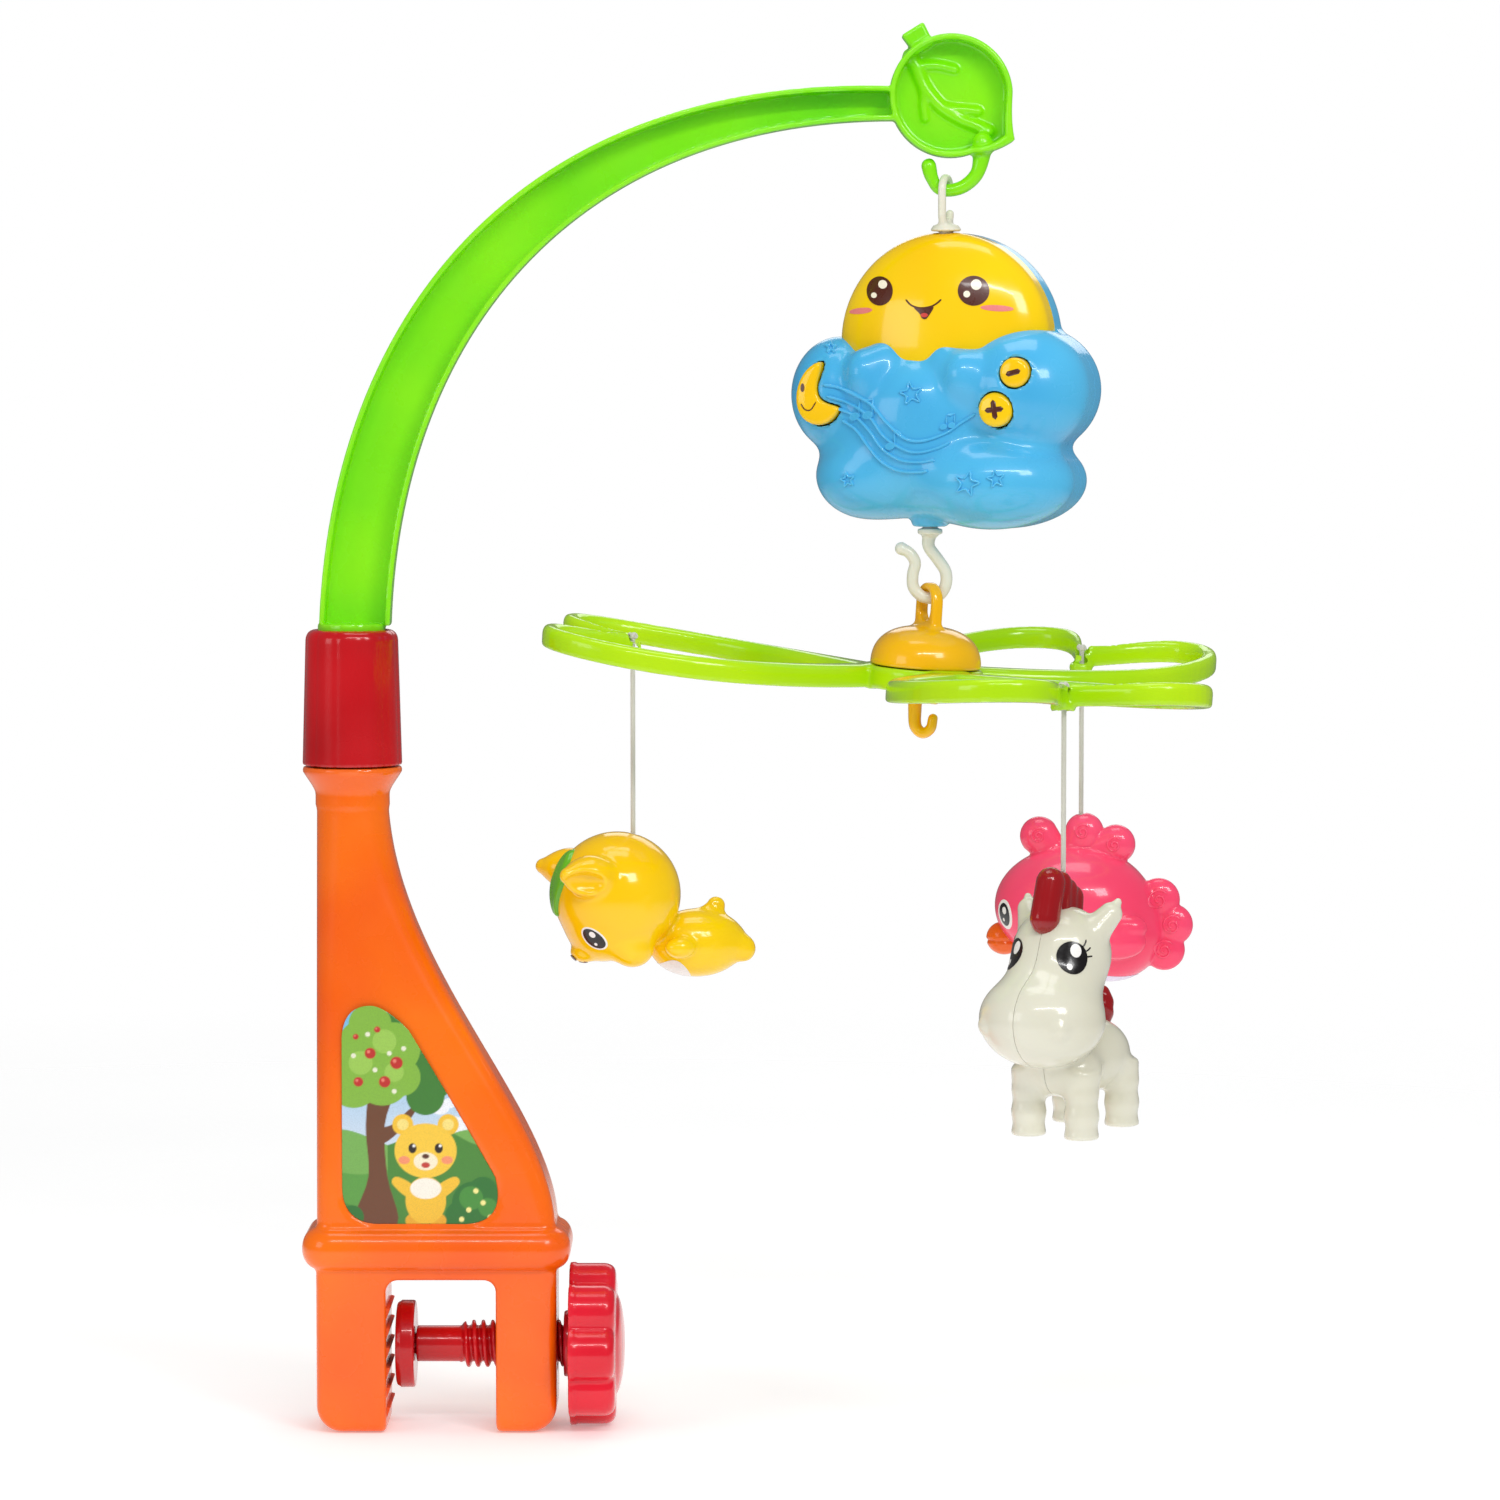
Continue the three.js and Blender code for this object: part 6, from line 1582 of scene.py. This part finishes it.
def unicorn_field(p):
    head = blend(13, *ellipsoids(p, SKULL_AND_MUZZLE))
    head = blend(2.6, head, *[capsule(p, line, [6.4, 4.7, 1.5]) for line in UNICORN_EARS])
    head = blend(1.4, head, *ellipsoids(p, NOSTRILS))
    body = blend(4.5, *ellipsoids(p, TRUNK_AND_CHEST), leg_field(p))
    seam = 0.35 * np.exp(-((p[:, 1] / 0.5) ** 2))
    return trim(0.6, blend(2.4, head, body) + seam, -cord_well(p))


def crest_field(p):
    q = p * [1, 1.12, 1]
    front = capsule(q, [(-15.0, 0, -8.5), (-10.5, 0, 5.2)], [6.6, 6.4])
    back = [capsule(q, [(-3.0 + 5 * k, 0, -8.0), (-2.5 + 5 * k, 0, 4.4 - 3.2 * k)], 5.0) for k in range(3)]
    return trim(0.5, blend(1.5, front, *back), -cord_well(p))


def tail_field(p):
    x, y, z = p.T
    return ellipsoid(p, (34, 0, -49), (4.4, 4.4, 8.9)) + 0.15 * np.cos(z * 1.1 + x * 0.8)


def make_unicorn():
    toy = Toy("unicorn", 172, 58, IVORY, "ivory_part")
    toy.build(unicorn_field, (-44, -29, -99.5), (48, 29, 3))
    crest = surface(crest_field, (-22, -8, -16), (14, 8, 13), 0.6)
    toy.add("crest", crest, MANE, "unicorn_forelock", "red_part")
    tail = surface(tail_field, (28, -6, -60), (40, 6, -38), 0.6)
    toy.add("tail", tail, MANE, "unicorn_tail", "red_part")
    size, tall = 6.3, 1.02
    for label, side in SIDES:
        canvas = toy.canvas((-4, 0, -24), 47 * side, 2)
        toy.eye(label, canvas, size, tall, ring=0, look=(0.24, 0.42))
        toy.lashes(label, canvas, -size * side, size * tall)


BIRD_BODY = [((-3, 0, -30), (35, 27.5, 26.5)), ((12.5, 0, -41), (24.5, 20, 22))]
WINGS = mirrored((18, -18.5, -43.5), (13.5, 6.4, 8)) + mirrored((22.5, -18, -37.5), (9.5, 6, 6))
BIRD_CREST = [[(-13, 0, -6), (-18.5, 0, 0.5)], [(-2, 0, -6), (1.5, 0, 2.5)], [(4, 0, -7), (15.5, 0, -2.5)]]
FAN = [(34.5, -26.5, 9.4), (40.5, -37.5, 9.2), (37, -48.5, 9.2)]  # x, z and radius of each tail feather
SWIRLS = [(-18, 1, 3.6), (1.5, 3, 3.6), (15.5, -2.5, 3.6)] + [(x + 0.5, z, 0.5 * r) for x, z, r in FAN]


def bird_field(p):
    form = blend(1.4, blend(7, *ellipsoids(p, BIRD_BODY)), *ellipsoids(p, WINGS))
    flat = p * [1, 1.35, 1]
    form = blend(1.4, form, blend(0.8, *[capsule(flat, line, [7.2, 8.6]) for line in BIRD_CREST]))
    feathers = [ellipsoid(p, (x, 0, z), (r, 4.8, r)) for x, z, r in FAN]
    return trim(0.6, blend(1.6, form, blend(0.8, *feathers)), -cord_well(p))


def beak_field(p):
    mouth = 0.7 * np.exp(-(((p[:, 2] + 46) / 0.7) ** 2))
    return ellipsoid(p, (-34, 0, -45), (8, 6, 7.4)) + mouth


def swirl(radius):
    t = np.linspace(0, 3.4 * math.pi, 28)
    shrink = radius * (1 - t / 12)
    return np.stack([shrink * np.cos(t + 0.6), shrink * np.sin(t + 0.6)], 1)


def make_bird():
    toy = Toy("bird", 176, -12, PINK, "pink_toy")
    toy.build(bird_field, (-41, -30, -66), (52, 30, 13))
    beak = surface(beak_field, (-43, -7, -54), (-25, 7, -36), 0.6)
    toy.add("beak_body", beak, BEAK, "bird_beak", "orange_beak")
    for label, side in SIDES:
        toy.eye(label, toy.canvas((-10, 0, -33), 36 * side), 3.9, 1.3, ring=1.5, look=(-0.15 * side, 0.35))
        curls = [toy.canvas((x, 0, z), 90 * side, away=20).ribbon(swirl(r), 1.0, 0.6) for x, z, r in SWIRLS]
        toy.add(f"swirls_{label}", joined(*curls), PINK)
    below = toy.canvas((4, 0, -40), 0, -89, up=(1, 0, 0))
    toy.add("belly", below.patch(circle(0, 0, 12, 22, 36), 0.16, rings=8), LILAC)


# ---- carried-over frame nodes
def frame_material(node):
    """The material of an inner piece, by its name."""
    if "axle" in node or "strip" in node or "screw_" in node or node.endswith("_screw") or node == "motor":
        return STEEL
    if node in ("battery_1", "battery_2", "battery_3", "speaker"):
        return BLACK
    if "gear" in node or node in ("motor_pinion", "clamp_nut"):
        return IVORY
    return {"circuit_board": BOARD, "battery_tray": BLUE}.get(node)


def dress_frame():
    for name, node in frame["nodes"].items():
        material = frame_material(name)
        if material:
            node.data.materials.clear()
            node.data.materials.append(material)


# ---- studio
def make_floor():
    """A pale round floor that fades into the backdrop towards its edge."""
    radius, z = 2.6, (LEG_BOTTOM - 0.4) * MM
    angles = np.linspace(0, 2 * math.pi, 72, endpoint=False)
    rings = [[(r * math.cos(a), r * math.sin(a), z) for a in angles] for r in (radius, 0.02)]
    verts, faces = rings_to_mesh(np.array(rings))
    mesh = bpy.data.meshes.new("floor")
    mesh.from_pydata(verts.tolist(), [], faces[:-2] + faces[-1:])
    floor = bpy.data.objects.new("floor", mesh)
    bpy.context.collection.objects.link(floor)
    n = Nodes("pale_floor")
    patches = n.remap(n.noise(3, 2), 0.3, 0.7, 0, 1)
    n.set(Base_Color=n.mix(patches, (0.95, 0.95, 0.95, 1), (0.92, 0.92, 0.92, 1)))
    n.set(Roughness=0.9, Specular_IOR_Level=0.1, Emission_Color=(1, 1, 1, 1), Emission_Strength=0.24)
    away = n.add("ShaderNodeVectorMath", operation="LENGTH")
    n.link(n.coordinates, away.inputs[0])
    n.set(Alpha=n.remap(away.outputs["Value"], 0.35, 1.5, 1, 0))
    mesh.materials.append(n.material)


def make_backdrop():
    """White behind the object; dimmer as a light, so that the lamps shape the forms."""
    world = bpy.data.worlds.new("studio")
    world.use_nodes = True
    tree = world.node_tree
    tree.nodes["Background"].inputs["Color"].default_value = (1, 1, 1, 1)
    seen = tree.nodes.new("ShaderNodeLightPath")
    strength = None
    for ray, value in (("Is Glossy Ray", 0.16), ("Is Camera Ray", 1.0)):
        level = tree.nodes.new("ShaderNodeMapRange")
        level.inputs["To Min"].default_value, level.inputs["To Max"].default_value = 0.5, value
        tree.links.new(seen.outputs[ray], level.inputs["Value"])
        if strength:
            tree.links.new(strength, level.inputs["To Min"])
        strength = level.outputs["Result"]
    tree.links.new(strength, tree.nodes["Background"].inputs["Strength"])
    bpy.context.scene.world = world


def make_lamps():
    aim = (0.1, 0, 0.2)
    lamps = [  # name, place, width, height, watts
        ("front_strip", (0.2, -1.3, 1.25), 1.1, 0.05, 6),
        ("key", (1.1, -1.5, 1.3), 0.55, 0.55, 10),
        ("fill", (-1.5, -1.2, 0.7), 0.8, 0.8, 4.5),
        ("top", (0.1, 0.0, 1.9), 1.0, 0.7, 6.5),
        ("rear", (0.4, 1.6, 1.1), 1.2, 0.6, 3.5),
    ]
    for name, at, wide, high, watts in lamps:
        data = bpy.data.lights.new(name, "AREA")
        data.shape, data.size, data.size_y, data.energy = "RECTANGLE", wide, high, watts
        lamp = bpy.data.objects.new(name, data)
        lamp.location = at
        lamp.rotation_euler = (Vector(aim) - Vector(at)).to_track_quat("-Z", "Y").to_euler()
        bpy.context.collection.objects.link(lamp)


def make_camera():
    bpy.context.scene.view_settings.view_transform = "Standard"
    far, wide, lift = 2.2, 0.63, math.radians(4)  # distance, width of the view there, height angle
    target = Vector((0.1298, 0, 0.2218))
    data = bpy.data.cameras.new("camera")
    data.sensor_width, data.lens = 36, 36 * far / wide
    camera = bpy.data.objects.new("camera", data)
    back = Vector((0, -math.cos(lift), math.sin(lift)))
    camera.location = target + back * far
    camera.rotation_euler = (-back).to_track_quat("-Z", "Y").to_euler()
    bpy.context.collection.objects.link(camera)
    bpy.context.scene.camera = camera


dress_frame()
for make in (make_upright, make_label, make_collar, make_clamp_screw, make_arm, make_eye):
    make()
for make in (make_music_shells, make_cloud_relief, make_sun_features, make_buttons, make_battery_door):
    make()
for make in (make_drive_hook, make_carousel):
    make()
for cord in ARMS:
    make_cord(cord)
for make in (make_cat, make_unicorn, make_bird, make_floor, make_backdrop, make_lamps, make_camera):
    make()
